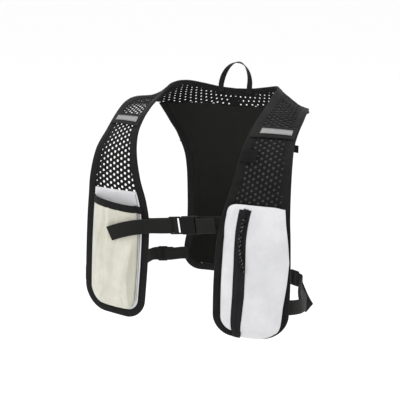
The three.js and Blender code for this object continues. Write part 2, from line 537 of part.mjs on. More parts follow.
// The yoke, from the right shoulder seam round the back of the neck to the left one.
function yokeRow(signed, insetNeck, insetLow) {
  const side = signed < 0 ? -1 : 1;
  const t = 1 - Math.abs(signed);
  return { side, t, from: fromNeck(t, insetNeck), to: fromArm(t, insetLow) };
}
function yoke() {
  const reach = 1 - SEAM;
  const corner = 1 - CORNER;
  const edgeGap = (GAP / 2) * (reach / (lengthAt(1) - STRAP_LENGTH));
  const half = evenly(9, 0, corner - 0.008);
  const outer = evenly(8, corner - 0.004, reach - edgeGap);
  const places = [
    ...outer.map((s) => -s).reverse(), ...half.map((s) => -s).reverse(),
    ...half.slice(1), ...outer,
  ];
  const rows = places.map((s) => yokeRow(s, BINDING_INSET, Math.abs(s) > corner - 0.006 ? BINDING_INSET : GAP));
  const grid = rows.map(({ side, t, from, to }) =>
    evenly(4, from, to).map((across) => strapPoint(side, t, across)));
  add('back_yoke', sheet(grid, -MESH_CLOTH / 2, MESH_CLOTH / 2, BACKWARD), BLACK_MESH);

  // The neckline's binding, the tape down the middle of the yoke and the armhole bindings.
  const half3 = BINDING_THICK / 2;
  const neckPlaces = evenly(44, -(reach - edgeGap), reach - edgeGap);
  const neckRows = neckPlaces.map((s) => yokeRow(s, 0, 0));
  const neckGrid = neckRows.map(({ side, t }) => [0, fromNeck(t, BINDING_WIDTH)].map((across) => strapPoint(side, t, across)));
  add('binding_neckline', sheet(neckGrid, -half3, half3, BACKWARD), BINDING);

  const inner = -(MESH_CLOTH / 2 + GAP);
  const tapeTop = fromNeck(1, BINDING_INSET + 1);
  const tape = [-YOKE_TAPE_WIDTH / 2, 0, YOKE_TAPE_WIDTH / 2].map((x) => [tapeTop, 1].map((across) => {
    const p = strapPoint(1, 1, across);
    return new THREE.Vector3(x, p.y, p.z);
  }));
  add('yoke_tape', sheet(tape, inner - 1, inner, BACKWARD), BLACK_CLOTH);

  for (const { side, word } of SIDES) {
    const ts = evenly(9, CORNER, SEAM + edgeGap);
    const edge = ts.map((t) => [fromArm(t, BINDING_WIDTH), 1].map((across) => strapPoint(side, t, across)));
    add(`binding_shoulder_${word}`, sheet(edge, -half3, half3, strapNormal(side, ts[4], 0.5)), BINDING);
  }
}

// The back panel as curves of its rows, followed by distance down from the shoulders.
const backCurve = (name) => {
  const points = BACK_SECTIONS.map((row) => new THREE.Vector2(row.down * BACK_DROP, row[name]));
  return new THREE.SplineCurve(points);
};
const BACK_CURVES = { half: backCurve('half'), edgeBack: backCurve('edgeBack'), middleBack: backCurve('middleBack') };
function backValue(name, down) {
  const curve = BACK_CURVES[name];
  let [low, high] = [0, 1];
  for (let k = 0; k < 24; k++) {
    const t = (low + high) / 2;
    if (curve.getPoint(t).x < down) low = t;
    else high = t;
  }
  return curve.getPoint((low + high) / 2).y;
}
// A point of the back panel: x given, 'down' from the shoulders and 'lift' backward.
function backPoint(x, down, lift = 0) {
  const half = backValue('half', down) * BACK_HALF;
  const middle = backValue('middleBack', down) * BACK_DEPTH;
  const edge = backValue('edgeBack', down) * BACK_DEPTH;
  return new THREE.Vector3(x, middle - (middle - edge) * (x / half) ** 2 + lift, -down);
}
const backEdge = (down) => backValue('half', down) * BACK_HALF;
const backTop = BACK_SECTIONS[0].down * BACK_DROP;

function backPanel() {
  const limit = (down, inset) =>
    backEdge(down) - inset - cornerCut(BACK_DROP - down - inset, BACK_HEM_RADIUS - inset);
  const rowsDown = [...evenly(16, backTop + 2 * GAP, BACK_DROP - 32), ...evenly(6, BACK_DROP - 26, BACK_DROP - BINDING_INSET)];
  const grid = (downs, inset, columns) =>
    downs.map((down) => columns.map((share) => backPoint(limit(down, inset) * share, down)));
  add('back_panel', sheet(grid(rowsDown, BINDING_INSET + 0.2, evenly(10, -1, 1)), -BACK_PAD / 2, BACK_PAD / 2, BACKWARD), BLACK_CLOTH);

  const half = BINDING_THICK / 2;
  for (const { side, word } of SIDES) {
    const straight = evenly(18, backTop + 2 * GAP, BACK_DROP - BACK_HEM_RADIUS).map((down) =>
      [backEdge(down), backEdge(down) - BINDING_WIDTH].map((x) => backPoint(side * x, down)));
    const turned = evenly(6, 0, Math.PI / 2).slice(1).map((turn) => [BACK_HEM_RADIUS, BACK_HEM_RADIUS - BINDING_WIDTH].map((r) => {
      const down = BACK_DROP - BACK_HEM_RADIUS + r * Math.sin(turn);
      const x = backEdge(BACK_DROP) - BACK_HEM_RADIUS + r * Math.cos(turn);
      return backPoint(side * x, down);
    }));
    const hem = evenly(3, backEdge(BACK_DROP) - BACK_HEM_RADIUS, GAP / 2).slice(1).map((x) =>
      [BACK_DROP, BACK_DROP - BINDING_WIDTH].map((down) => backPoint(side * x, down)));
    add(`binding_back_${word}`, sheet([...straight, ...turned, ...hem], -half, half, BACKWARD), BINDING);
  }

  // The plain pocket on the outside of the back, open along its top.
  const margin = BINDING_INSET + 1;
  const rim = BACK_PAD / 2 + 2 * GAP + PANEL_CLOTH / 2;
  const surface = (down, share, lift = 0) => {
    const fromHem = (BACK_DROP - margin - down) / (BACK_DROP - margin - BACK_POCKET_TOP);
    const rise = BACK_POCKET_DEPTH * Math.min(1, Math.sqrt(Math.max(0, fromHem) * 4)) * (1 - share ** 6);
    return backPoint(limit(down, margin) * share, down, rim + rise + lift);
  };
  const shares = [-1, -0.985, -0.93, -0.8, -0.5, 0, 0.5, 0.8, 0.93, 0.985, 1];
  const pocket = (downs) => downs.map((down) => shares.map((share) => surface(down, share)));
  const mouth = BACK_POCKET_TOP + BACK_POCKET_BINDING;
  const downs = [...evenly(12, mouth + GAP, BACK_DROP - 40), ...evenly(4, BACK_DROP - 32, BACK_DROP - margin)];
  const cloth = PANEL_CLOTH / 2;
  add('back_pocket', sheet(pocket(downs), -cloth, cloth, BACKWARD), BLACK_CLOTH);
  add('back_pocket_binding', sheet(pocket([BACK_POCKET_TOP, mouth]), -cloth, FLASK_BINDING_THICK - cloth, BACKWARD), BINDING);

  // A small folded loop at each end of the mouth.
  for (const { side, word } of SIDES) {
    const seat = (share) => surface(BACK_POCKET_TOP + 17, side * share, cloth + 1.3 * GAP + THIN_WEBBING / 2);
    const reachOut = new THREE.Vector3(side, -0.05, -0.1).normalize();
    const level = new THREE.Vector3(0, 0, 1);
    const loop = [
      { at: seat(0.66), across: level }, { at: seat(0.76), across: level },
      { at: step(seat(0.76), reachOut, 12), across: level },
      { at: step(seat(0.76), reachOut, BACK_LOOP_REACH), across: level.clone().multiplyScalar(0.35) },
    ];
    add(`back_loop_${word}`, ribbon(loop, BACK_LOOP_WIDTH, THIN_WEBBING), WEBBING);
  }
}

// A ribbon or webbing: stations with a point and the direction across it.
function ribbon(stations, width, thick) {
  const grid = stations.map(({ at, across }) => [step(at, across, -width / 2), step(at, across, width / 2)]);
  return sheet(grid, -thick / 2, thick / 2, gridNormal(grid, Math.floor(grid.length / 2), 1));
}
// A half turn of webbing round a bar: it comes along -'away', turns, and leaves along 'away'.
const TURN_RADIUS = LOCK_THICK / 2 + GAP + WEBBING_THICK / 2;
function halfTurn(centre, away, outer, across, steps = 6) {
  return evenly(steps, -Math.PI / 2, Math.PI / 2).map((turn) => ({
    at: step(step(centre, away, -TURN_RADIUS * Math.cos(turn)), outer, TURN_RADIUS * Math.sin(turn)), across,
  }));
}
// A flat frame with slots for webbing, its length along X from 0, its height along Y, centred in Z.
const SLOT_HEIGHT = WEBBING_WIDTH + 2 * GAP + 0.4;
const FRAME_HEIGHT = SLOT_HEIGHT + 2 * LOCK_RIM;
function frame(parts, thick, round) {
  const length = parts.reduce((sum, part) => sum + part.size, 0);
  const h = FRAME_HEIGHT / 2 - round;
  const corners = [[round, -h, Math.PI], [length - round, -h, -Math.PI / 2], [length - round, h, 0], [round, h, Math.PI / 2]];
  const outline = new THREE.Shape(corners.flatMap(([x, y, first]) => evenly(4, first, first + Math.PI / 2).map(
    (turn) => new THREE.Vector2(x + round * Math.cos(turn), y + round * Math.sin(turn)))));
  let x = 0;
  for (const part of parts) {
    const [from, to] = [x, x + part.size];
    const slot = [[from, -1], [from, 1], [to, 1], [to, -1]];
    if (part.slot) outline.holes.push(new THREE.Path(slot.map(([sx, y]) => new THREE.Vector2(sx, (y * part.slot) / 2))));
    x = to;
  }
  return new THREE.ExtrudeGeometry(outline, { depth: thick, bevelEnabled: false }).translate(0, 0, -thick / 2);
}
function placeFrame(mesh, at, along, across) {
  const outer = along.clone().cross(across).normalize();
  mesh.quaternion.setFromRotationMatrix(new THREE.Matrix4().makeBasis(along, across, outer));
  mesh.position.copy(at);
}

// The direction up a front panel at a level, made square to the webbing that is sewn there.
function alongPanel(side, level, webbing) {
  const at = (up) => strapPoint(side, placeAt(up), 0.5);
  const upward = at(level + 5).sub(at(level - 5)).normalize();
  return upward.addScaledVector(webbing, -upward.dot(webbing)).normalize();
}

// The chest strap, from the right panel to the left one.
function chestStrap() {
  const edgeAt = (side, up, lift, inward = 0) => strapPoint(side, placeAt(up), fromNeck(placeAt(up), inward), lift);
  const right = edgeAt(-1, CHEST_LEVEL_RIGHT, 0);
  const left = edgeAt(1, CHEST_LEVEL_LEFT, 0);
  const along = left.clone().sub(right).normalize();
  const across = new THREE.Vector3(0, 0, 1).addScaledVector(along, -along.z).normalize();
  const front = along.clone().cross(across).normalize();

  // The male half: an end bar, the slot with the webbing, a wide bar, an open slot and its shoulder.
  const maleParts = [
    { size: LOCK_BAR }, { size: LOCK_SLOT, slot: SLOT_HEIGHT }, { size: BUCKLE_MIDDLE_BAR },
    { size: LOCK_SLOT - 0.8, slot: SLOT_HEIGHT - 1.2 }, { size: LOCK_BAR - 0.6 },
  ];
  const maleLength = maleParts.reduce((sum, part) => sum + part.size, 0);
  const femaleParts = [{ size: BUCKLE_BODY_LENGTH }, { size: LOCK_SLOT, slot: SLOT_HEIGHT }, { size: LOCK_BAR }];
  const femaleLength = femaleParts.reduce((sum, part) => sum + part.size, 0);
  const femaleEnd = step(left, along, -CHEST_WEBBING_LEFT);
  const femaleStart = step(femaleEnd, along, -femaleLength);
  const maleStart = step(femaleStart, along, -(maleLength + GAP));
  placeFrame(add('chest_buckle_male', frame(maleParts, LOCK_THICK, 1.5), PLASTIC), maleStart, along, across);
  placeFrame(add('chest_buckle_female', frame(femaleParts, BUCKLE_THICK, 2.5), PLASTIC), femaleStart, along, across);

  // The right webbing: sewn behind the panel's binding, round the end bar, and back as a tail over
  // the front of the panel and the flask pocket.
  const behind = -(BINDING_THICK / 2 + 3 * GAP + WEBBING_THICK / 2);
  const sewn = (side, level, inward) => ({
    at: edgeAt(side, level, behind, inward), across: alongPanel(side, level, along),
  });
  const bar = step(maleStart, along, LOCK_BAR);
  const turn = halfTurn(bar, along.clone().negate(), front, across);
  const stations = [
    sewn(-1, CHEST_LEVEL_RIGHT, BINDING_WIDTH * 0.8), sewn(-1, CHEST_LEVEL_RIGHT, 0.5),
    { at: step(step(bar, along, -FOLD_REACH), front, -TURN_RADIUS), across },
  ];
  stations.push(...turn);
  stations.push({ at: step(step(bar, along, -FOLD_REACH), front, TURN_RADIUS + GAP), across });
  const tailLift = WEBBING_THICK / 2 + GAP + 0.7;
  const clearBinding = BINDING_THICK / 2 + tailLift + 1;
  stations.push({ at: edgeAt(-1, CHEST_LEVEL_RIGHT, clearBinding, 1), across });
  for (const share of evenly(7, 0.16, CHEST_TAIL_REACH)) {
    const up = CHEST_LEVEL_RIGHT - CHEST_TAIL_DROP * (share / CHEST_TAIL_REACH) ** 1.6;
    const surface = strapPoint(-1, placeAt(up), share, tailRise(share, tailLift));
    const tilt = across.clone().addScaledVector(along, -0.28 * (share / CHEST_TAIL_REACH)).normalize();
    stations.push({ at: surface, across: tilt });
  }
  add('chest_webbing_right', ribbon(stations, WEBBING_WIDTH, WEBBING_THICK), WEBBING);

  // The left webbing: sewn behind the left binding and folded round the buckle's bar.
  const leftBar = step(femaleEnd, along, -LOCK_BAR);
  const leftTurn = halfTurnWide(leftBar, along, front, across);
  const leftStations = [
    sewn(1, CHEST_LEVEL_LEFT, BINDING_WIDTH * 0.8), sewn(1, CHEST_LEVEL_LEFT, 0.5),
    ...leftTurn,
    { at: step(step(leftBar, along, LOCK_BAR + FOLD_REACH), front, BUCKLE_TURN + 0.2), across },
  ];
  add('chest_webbing_left', ribbon(leftStations, WEBBING_WIDTH, WEBBING_THICK), WEBBING);
}
const BUCKLE_TURN = BUCKLE_THICK / 2 + GAP + WEBBING_THICK / 2;
function halfTurnWide(bar, away, outer, across) {
  const inner = TURN_RADIUS - LOCK_THICK / 2;
  return evenly(8, -Math.PI / 2, Math.PI / 2).map((turn) => {
    const out = Math.sign(Math.sin(turn)) * (BUCKLE_THICK / 2) + inner * Math.sin(turn);
    return { at: step(step(bar, away, -inner * Math.cos(turn)), outer, out), across };
  });
}
// How far the chest strap's tail stands off the right panel, so that it clears the flask pocket.
function tailRise(share, clearance) {
  const t = placeAt(CHEST_LEVEL_RIGHT);
  const first = fromNeck(t, BINDING_INSET + FLASK_POCKET.neckMargin);
  const at = Math.max(0, (share - first) / (fromArm(t, BINDING_INSET) - first));
  const rise = (share) => pocketColumn(FLASK_ACROSS, Math.min(0.98, Math.max(share, 0.005))).rise;
  const wide = Math.max(rise(at), rise(at + 0.1));
  return POCKET_RIM + FLASK_POCKET_DEPTH * wide + PANEL_CLOTH / 2 + FLASK_BINDING_THICK + clearance;
}

// A side strap: webbing from the front panel to a ladder lock, its tail, and the tab that holds the
// lock on the back panel.
function sideStrap({ side, word }) {
  const up = new THREE.Vector3(0, 0, 1);
  const behind = -(BINDING_THICK / 2 + 2 * GAP + WEBBING_THICK / 2);
  const t = placeAt(SIDE_LEVEL);
  const sewnAcross = alongPanel(side, SIDE_LEVEL, new THREE.Vector3(side, 0, 0));
  const frontEdge = strapPoint(side, t, 1, behind);
  const backX = backEdge(SIDE_LEVEL_BACK);
  const reach = new THREE.Vector3(side * 0.92, -0.39, 0).normalize();
  const inside = -(BINDING_THICK / 2 + 3 * GAP + WEBBING_THICK / 2);
  const backSeat = backPoint(side * (backX - BINDING_WIDTH * 0.8), SIDE_LEVEL_BACK, inside);
  const backRim = backPoint(side * (backX + 1), SIDE_LEVEL_BACK, inside);
  const lockStart = step(step(backRim, reach, SIDE_TAB_REACH - 14), up, -SIDE_LOCK_SAG[word]);

  const parts = [
    { size: LOCK_BAR }, { size: LOCK_SLOT, slot: SLOT_HEIGHT + 0.6 }, { size: LOCK_BAR },
    { size: LOCK_SLOT, slot: SLOT_HEIGHT }, { size: LOCK_BAR },
  ];
  const length = parts.reduce((sum, part) => sum + part.size, 0);
  placeFrame(add(`side_lock_${word}`, frame(parts, LOCK_THICK, 1.5), PLASTIC), lockStart, reach, up);
  const outer = reach.clone().cross(up).multiplyScalar(-side).normalize();

  // The tab on the back panel, folded round the lock's rear bar.
  const rearBar = step(lockStart, reach, LOCK_BAR);
  const tab = [
    { at: backSeat, across: up }, { at: backRim, across: up },
    { at: step(step(rearBar, reach, -LOCK_BAR - 5), outer, -TURN_RADIUS), across: up },
    ...halfTurn(rearBar, reach.clone().negate(), outer, up),
    { at: step(step(rearBar, reach, -LOCK_BAR - 9), outer, TURN_RADIUS), across: up },
  ];
  add(`side_tab_${word}`, ribbon(tab, WEBBING_WIDTH, WEBBING_THICK), WEBBING);

  // The webbing from the front panel, round the lock's front bar, with its tail hanging outside.
  const frontBar = step(lockStart, reach, length - LOCK_BAR);
  const arrive = step(step(frontBar, reach, LOCK_BAR + 8), outer, -TURN_RADIUS);
  const outDirection = new THREE.Vector3(side, 0.12, 0).normalize();
  const stations = [BINDING_WIDTH * 0.8, 0.5].map((inward) =>
    ({ at: strapPoint(side, t, fromArm(t, inward), behind), across: sewnAcross }));
  for (const { along, out, down } of SIDE_STRAP_PATH) {
    const across = mix(sewnAcross, up, Math.min(1, along * 4)).normalize();
    const at = step(mix(frontEdge, arrive, along), outDirection, out * SIDE_BOW);
    stations.push({ at: step(at, up, -down * SIDE_BOW), across });
  }
  stations.push({ at: arrive, across: up });
  stations.push(...halfTurn(frontBar, reach, outer, up));
  const tail = SIDE_TAILS[word];
  const tailDirection = new THREE.Vector3(side * tail.out, -tail.fore, -tail.down).normalize();
  const leaning = new THREE.Vector3(side * tail.lean, 0, 1);
  const tilt = leaning.addScaledVector(tailDirection, -leaning.dot(tailDirection)).normalize();
  const tailStart = step(step(frontBar, reach, LOCK_BAR + 3), outer, TURN_RADIUS + 1.2);
  for (const share of evenly(4, 0.05, 1)) {
    const at = step(tailStart, tailDirection, SIDE_TAIL_LENGTH * share);
    stations.push({ at: step(at, outer, 3 * Math.sin(Math.PI * share)), across: mix(up, tilt, Math.min(1, share * 2)).normalize() });
  }
  add(`side_webbing_${word}`, ribbon(stations, WEBBING_WIDTH, WEBBING_THICK), WEBBING);
}

// The grab loop: a ribbon bent flatwise over the neckline, turning half round as it goes.
function grabLoop() {
  const lift = -(BINDING_THICK / 2 + 2 * GAP + THIN_WEBBING / 2);
  const tFoot = 1 - (GRAB_LOOP_HALF / (YOKE_SECTIONS.at(-2).neckOut * CHEST_HALF)) / SECTION_STEPS;
  const foot = strapPoint(1, tFoot, fromNeck(tFoot, BINDING_WIDTH / 2), lift);
  const straight = 7;
  const place = (x, z, turn, lean) => ({
    at: new THREE.Vector3(x + GRAB_LOOP_LEAN * lean, foot.y, foot.z + z),
    across: new THREE.Vector3(Math.cos(turn), Math.sin(turn), 0),
  });
  const stations = [place(-GRAB_LOOP_HALF, -3, 0, 0), place(-GRAB_LOOP_HALF, straight, 0, 0)];
  for (const angle of evenly(16, 0, Math.PI).slice(1, -1)) {
    const z = straight + (GRAB_LOOP_HEIGHT - 2) * Math.sin(angle);
    stations.push(place(-GRAB_LOOP_HALF * Math.cos(angle), z, angle, Math.sin(angle)));
  }
  stations.push(place(GRAB_LOOP_HALF, straight, Math.PI, 0), place(GRAB_LOOP_HALF, -3, Math.PI, 0));
  add('grab_loop', ribbon(stations, GRAB_LOOP_WIDTH, THIN_WEBBING), WEBBING);
}

// The flap that keeps a drinking hose in place, on the neck side of the left strap.
function hoseKeeper() {
  const side = 1;
  const ups = evenly(3, HOSE_FLAP_LEVEL, HOSE_FLAP_LEVEL + HOSE_FLAP_HEIGHT);
  const low = BINDING_THICK / 2 + GAP;
  const grid = ups.map((up) => {
    const t = placeAt(up);
    return evenly(3).map((share) => strapPoint(side, t, fromNeck(t, 1 + HOSE_FLAP_WIDTH * share), share ** 2));
  });
  add('hose_keeper_left', sheet(grid, low, low + THIN_WEBBING, outwardOf(side, ups)), BLACK_CLOTH);
}

SIDES.forEach(frontStrap);
SIDES.forEach(frontBinding);
SIDES.forEach(crossTapes);
zipPocket();
flaskPocket();
yoke();
backPanel();
chestStrap();
SIDES.forEach(sideStrap);
grabLoop();
hoseKeeper();

export default vest;
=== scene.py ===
# Running hydration vest: the look of each piece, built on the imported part.
# +X is the wearer's left, -Y the front and +Z up. Shapes are worked out in millimetres and made in metres.
import math

import bpy
import numpy as np
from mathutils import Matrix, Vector


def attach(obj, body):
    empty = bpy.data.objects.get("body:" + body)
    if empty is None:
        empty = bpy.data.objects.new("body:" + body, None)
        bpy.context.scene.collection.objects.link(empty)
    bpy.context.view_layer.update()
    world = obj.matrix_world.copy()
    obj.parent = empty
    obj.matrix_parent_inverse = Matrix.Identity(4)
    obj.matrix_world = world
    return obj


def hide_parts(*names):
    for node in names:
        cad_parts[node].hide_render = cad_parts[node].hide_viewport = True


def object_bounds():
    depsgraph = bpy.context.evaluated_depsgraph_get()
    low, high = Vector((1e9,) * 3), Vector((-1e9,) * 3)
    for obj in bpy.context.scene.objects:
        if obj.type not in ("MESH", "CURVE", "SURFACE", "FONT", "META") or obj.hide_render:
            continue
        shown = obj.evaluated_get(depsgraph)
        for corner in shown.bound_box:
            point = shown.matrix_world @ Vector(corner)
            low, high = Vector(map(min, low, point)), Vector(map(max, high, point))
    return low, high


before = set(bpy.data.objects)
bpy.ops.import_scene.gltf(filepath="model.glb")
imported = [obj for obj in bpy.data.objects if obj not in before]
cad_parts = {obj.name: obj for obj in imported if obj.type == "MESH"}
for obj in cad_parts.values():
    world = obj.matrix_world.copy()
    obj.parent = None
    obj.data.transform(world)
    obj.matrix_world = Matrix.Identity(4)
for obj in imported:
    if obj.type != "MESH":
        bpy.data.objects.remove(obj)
cad_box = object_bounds()

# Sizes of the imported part.
CHEST_HALF = 145
CHEST_DEPTH = 165
FRONT_DROP = 268
BACK_DEPTH = 50
BACK_HALF = 112
BACK_DROP = 274
NECK_RISE = 22
GAP = 0.35
MESH_CLOTH = 1.4
PANEL_CLOTH = 1.2
BACK_PAD = 3
BINDING_WIDTH = 10.5
BINDING_THICK = 3
STRAP_CROWN = 2.5
HEM_RADIUS_NECK = 27
HEM_RADIUS_ARM = 34
BACK_HEM_RADIUS = 26
PANEL_HEIGHT = 169
ZIP_POCKET_DEPTH = 13
ZIP_TOP_MARGIN = 5
ZIP_TAPE_THICK = 0.8
FLASK_POCKET_HEIGHT = 158
FLASK_POCKET_DEPTH = 11
FLASK_BINDING_HEIGHT = 10
FLASK_BINDING_THICK = 2
FLASK_MOUTH_SLANT = 8
SIDE_ZIP_WIDTH = 3
BACK_POCKET_DEPTH = 14
BACK_POCKET_TOP = 52
BACK_POCKET_BINDING = 10
BACK_LOOP_REACH = 38
BACK_LOOP_WIDTH = 11
YOKE_TAPE_WIDTH = 10.8
THIN_WEBBING = 1.2
WEBBING_WIDTH = 20
WEBBING_THICK = 1.4
CROSS_WEBBING_HEIGHT = 21
REFLECTIVE_HEIGHT = 9.5
TAPE_THICK = 0.6
STRIP_LEVEL = 271
LOCK_BAR = 2.4
LOCK_SLOT = 3.6
LOCK_THICK = 2.4
LOCK_RIM = 1.4
BUCKLE_MIDDLE_BAR = 6
BUCKLE_BODY_LENGTH = 20
BUCKLE_THICK = 6
CHEST_LEVEL_RIGHT = 129
CHEST_LEVEL_LEFT = 143
CHEST_WEBBING_LEFT = 26
CHEST_TAIL_REACH = 0.51
CHEST_TAIL_DROP = 14
SIDE_LEVEL = 44
SIDE_LEVEL_BACK = 248
SIDE_BOW = 16
SIDE_TAB_REACH = 37
SIDE_TAIL_LENGTH = 56
SIDE_LOCK_SAG = {"left": 8, "right": 1}
GRAB_LOOP_WIDTH = 8
GRAB_LOOP_HALF = 21.5
GRAB_LOOP_HEIGHT = 36
GRAB_LOOP_LEAN = 4
PULL_CORD_DIAMETER = 4
HOSE_FLAP_LEVEL = 226
HOSE_FLAP_HEIGHT = 16
HOSE_FLAP_WIDTH = 20
FOLD_REACH = 12
LEFT_FOLD_REACH = 21.5
CROSS_WEBBING_THICK = 1
STRAP_LINING_THICK = 0.25
# How much narrower than in the part the slots are, so that the webbing fills them.
BAR_CLOSE = 0.6
SIDE_BAR_CLOSE = 0.9
# How far under a binding the webbing behind it is sewn.
SEWN_UNDER = BINDING_WIDTH * 0.8

# Net cloth: the pitch of its holes along the strap, the step between columns, and a hole's half sizes.
NET_PITCH = 7.4
NET_COLUMN = 5.5
NET_HOLE_HALF_WIDTH = 1.54
NET_HOLE_HALF_HEIGHT = 1.62
# How far the holes are open: on the yoke, and beside each strap's neck edge.
YOKE_HOLE_SHARE = 0.6
STRAP_HOLE_SHARE = {"left": 0.8, "right": 0.5}
# The net's rim lies this far in from the strap's edges, and sinks this far where it meets a pocket.
NET_INSET = BINDING_WIDTH - 4.5
NET_TUCK = 1.5

MM = 0.001
SCENE = bpy.context.scene
SIDES = (("left", 1), ("right", -1))
UPWARD = np.array([0.0, 0.0, 1.0])
BACKWARD = (0, 1, 0)


def table(columns, *rows):
    """Rows of numbers under named columns."""
    return {name: np.array(values, float) for name, values in zip(columns.split(), zip(*rows))}


# Neck edge and armhole edge of a front strap from the hem up, as in the part.
STRAP_SECTIONS = table(
    "neckOut neckFore neckUp armOut armFore armUp crown",
    (0.345, 1.006, -1.000, 0.993, 0.909, -1.000, 1.0),
    (0.331, 0.988, -0.888, 1.000, 0.897, -0.888, 1.0),
    (0.321, 0.945, -0.709, 0.997, 0.873, -0.709, 1.0),
    (0.328, 0.891, -0.522, 0.981, 0.855, -0.522, 1.0),
    (0.366, 0.864, -0.411, 0.966, 0.842, -0.411, 1.0),
    (0.428, 0.852, -0.299, 0.955, 0.815, -0.299, 1.0),
    (0.476, 0.818, -0.183, 0.934, 0.736, -0.186, 1.0),
    (0.503, 0.742, -0.094, 0.903, 0.600, -0.108, 0.9),
    (0.517, 0.612, -0.035, 0.897, 0.473, -0.056, 0.3),
    (0.528, 0.436, 0.009, 0.897, 0.333, -0.015, -0.8),
    (0.528, 0.242, 0.043, 0.886, 0.224, 0.004, -1.8),
    (0.526, 0.073, 0.076, 0.869, 0.121, 0.006, -2.2),
)
# The yoke, from the shoulder seam to the middle of the back.
YOKE_SECTIONS = table(
    "neckOut neckBack neckUp lowOut lowBack lowUp crown",
    (0.524, 0.06, 1.01, 0.838, 0.02, -0.05, -2.0),
    (0.490, 0.40, 1.02, 0.810, 0.30, -0.27, -1.0),
    (0.428, 0.72, 0.91, 0.772, 0.54, -0.59, 0.2),
    (0.317, 0.92, 0.73, 0.538, 0.75, -0.59, 0.5),
    (0.166, 1.00, 0.55, 0.276, 0.89, -0.59, 0.5),
    (0.000, 1.02, 0.48, 0.000, 0.94, -0.59, 0.5),
)
YOKE_CORNER = 2
BACK_SECTIONS = table(
    "down half edgeBack middleBack",
    (0.050, 1.000, 0.54, 0.94),
    (0.110, 0.924, 0.64, 0.96),
    (0.161, 0.857, 0.69, 0.98),
    (0.204, 0.790, 0.72, 0.99),
    (0.245, 0.746, 0.74, 1.00),
    (0.281, 0.710, 0.76, 1.00),
    (0.328, 0.674, 0.77, 1.00),
    (0.383, 0.655, 0.78, 0.99),
    (0.456, 0.643, 0.78, 0.98),
    (0.620, 0.639, 0.78, 0.96),
    (0.774, 0.648, 0.76, 0.92),
    (0.840, 0.674, 0.74, 0.90),
    (0.895, 0.684, 0.72, 0.88),
    (1.000, 0.684, 0.68, 0.86),
)
# How each front pocket rises across it and up it.
ZIP_ACROSS = table(
    "at rise",
    (0.005, 0.0), (0.012, 0.36), (0.065, 0.70), (0.235, 0.93), (0.405, 0.99), (0.550, 1.0),
    (0.720, 0.96), (0.870, 0.84), (0.975, 0.64), (1.025, 0.42), (0.995, 0.18), (0.985, 0.0),
)
FLASK_ACROSS = table(
    "at rise",
    (0.004, 0.0), (0.010, 0.30), (0.050, 0.55), (0.150, 0.80), (0.320, 0.96), (0.500, 1.0),
    (0.680, 0.92), (0.840, 0.68), (0.940, 0.36), (0.985, 0.0),
)
ZIP_POCKET_UP = table(
    "at rise",
    (0.012, 0.0), (0.012, 0.18), (-0.046, 0.44), (-0.040, 0.66), (0.02, 0.88), (0.12, 0.97), (0.26, 1.0),
    (0.42, 1.0), (0.58, 0.97), (0.74, 0.88), (0.86, 0.70), (0.94, 0.47), (0.985, 0.22), (1.0, 0.0),
)
FLASK_POCKET_UP = table(
    "at rise",
    (0.006, 0.0), (0.006, 0.2), (0.020, 0.4), (0.07, 0.6), (0.16, 0.75), (0.30, 0.84), (0.46, 0.88),
    (0.62, 0.92), (0.78, 0.96), (0.90, 1.0), (1.0, 1.0),
)
ZIP_FROM = 3
ZIP_TO = 4
SIDE_STRAP_PATH = table(
    "along out down",
    (0.035, 0.42, 0.0), (0.12, 0.85, 0.05), (0.27, 1.02, 0.18), (0.48, 0.78, 0.42), (0.70, 0.36, 0.45),
    (0.86, 0.08, 0.25),
)
SIDE_TAILS = {
    "left": {"out": 0.50, "fore": 0.75, "down": 0.44, "lean": 0.5, "start": -2.2, "bulge": -4.5},
    "right": {"out": 0.50, "fore": 0.85, "down": 0.12, "lean": 0.1, "start": 3, "bulge": 3},
}
PULL_CORD_ROUTE = table(
    "up across off",
    (155, 0.335, 3.6), (149, 0.338, 3.4), (141, 0.325, 3.2), (132, 0.318, 3.2), (123, 0.330, 3.2),
    (114, 0.350, 3.2), (105, 0.366, 3.2), (97, 0.385, 3.4), (91, 0.420, 3.8),
)
# Folds in the cloth of a pocket: where each runs across and up it, how far it leans, how wide and how tall
# it is as shares of the pocket, and how deep in mm.
FLASK_FOLDS = table(
    "across up lean wide tall deep",
    (0.20, 0.36, -0.115, 0.060, 0.30, 3.0),
    (0.06, 0.34, -0.02, 0.080, 0.26, -2.4),
    (0.36, 0.62, -0.03, 0.045, 0.40, 1.6),
    (0.45, 0.50, -0.04, 0.050, 0.46, -2.2),
    (0.58, 0.55, -0.02, 0.050, 0.42, 2.6),
    (0.68, 0.50, -0.04, 0.045, 0.42, -2.2),
    (0.78, 0.66, -0.10, 0.040, 0.30, 2.2),
    (0.86, 0.36, -0.04, 0.045, 0.30, -2.2),
    (0.30, 0.12, 0.10, 0.060, 0.10, -1.8),
    (0.62, 0.12, -0.12, 0.070, 0.10, -1.8),
)
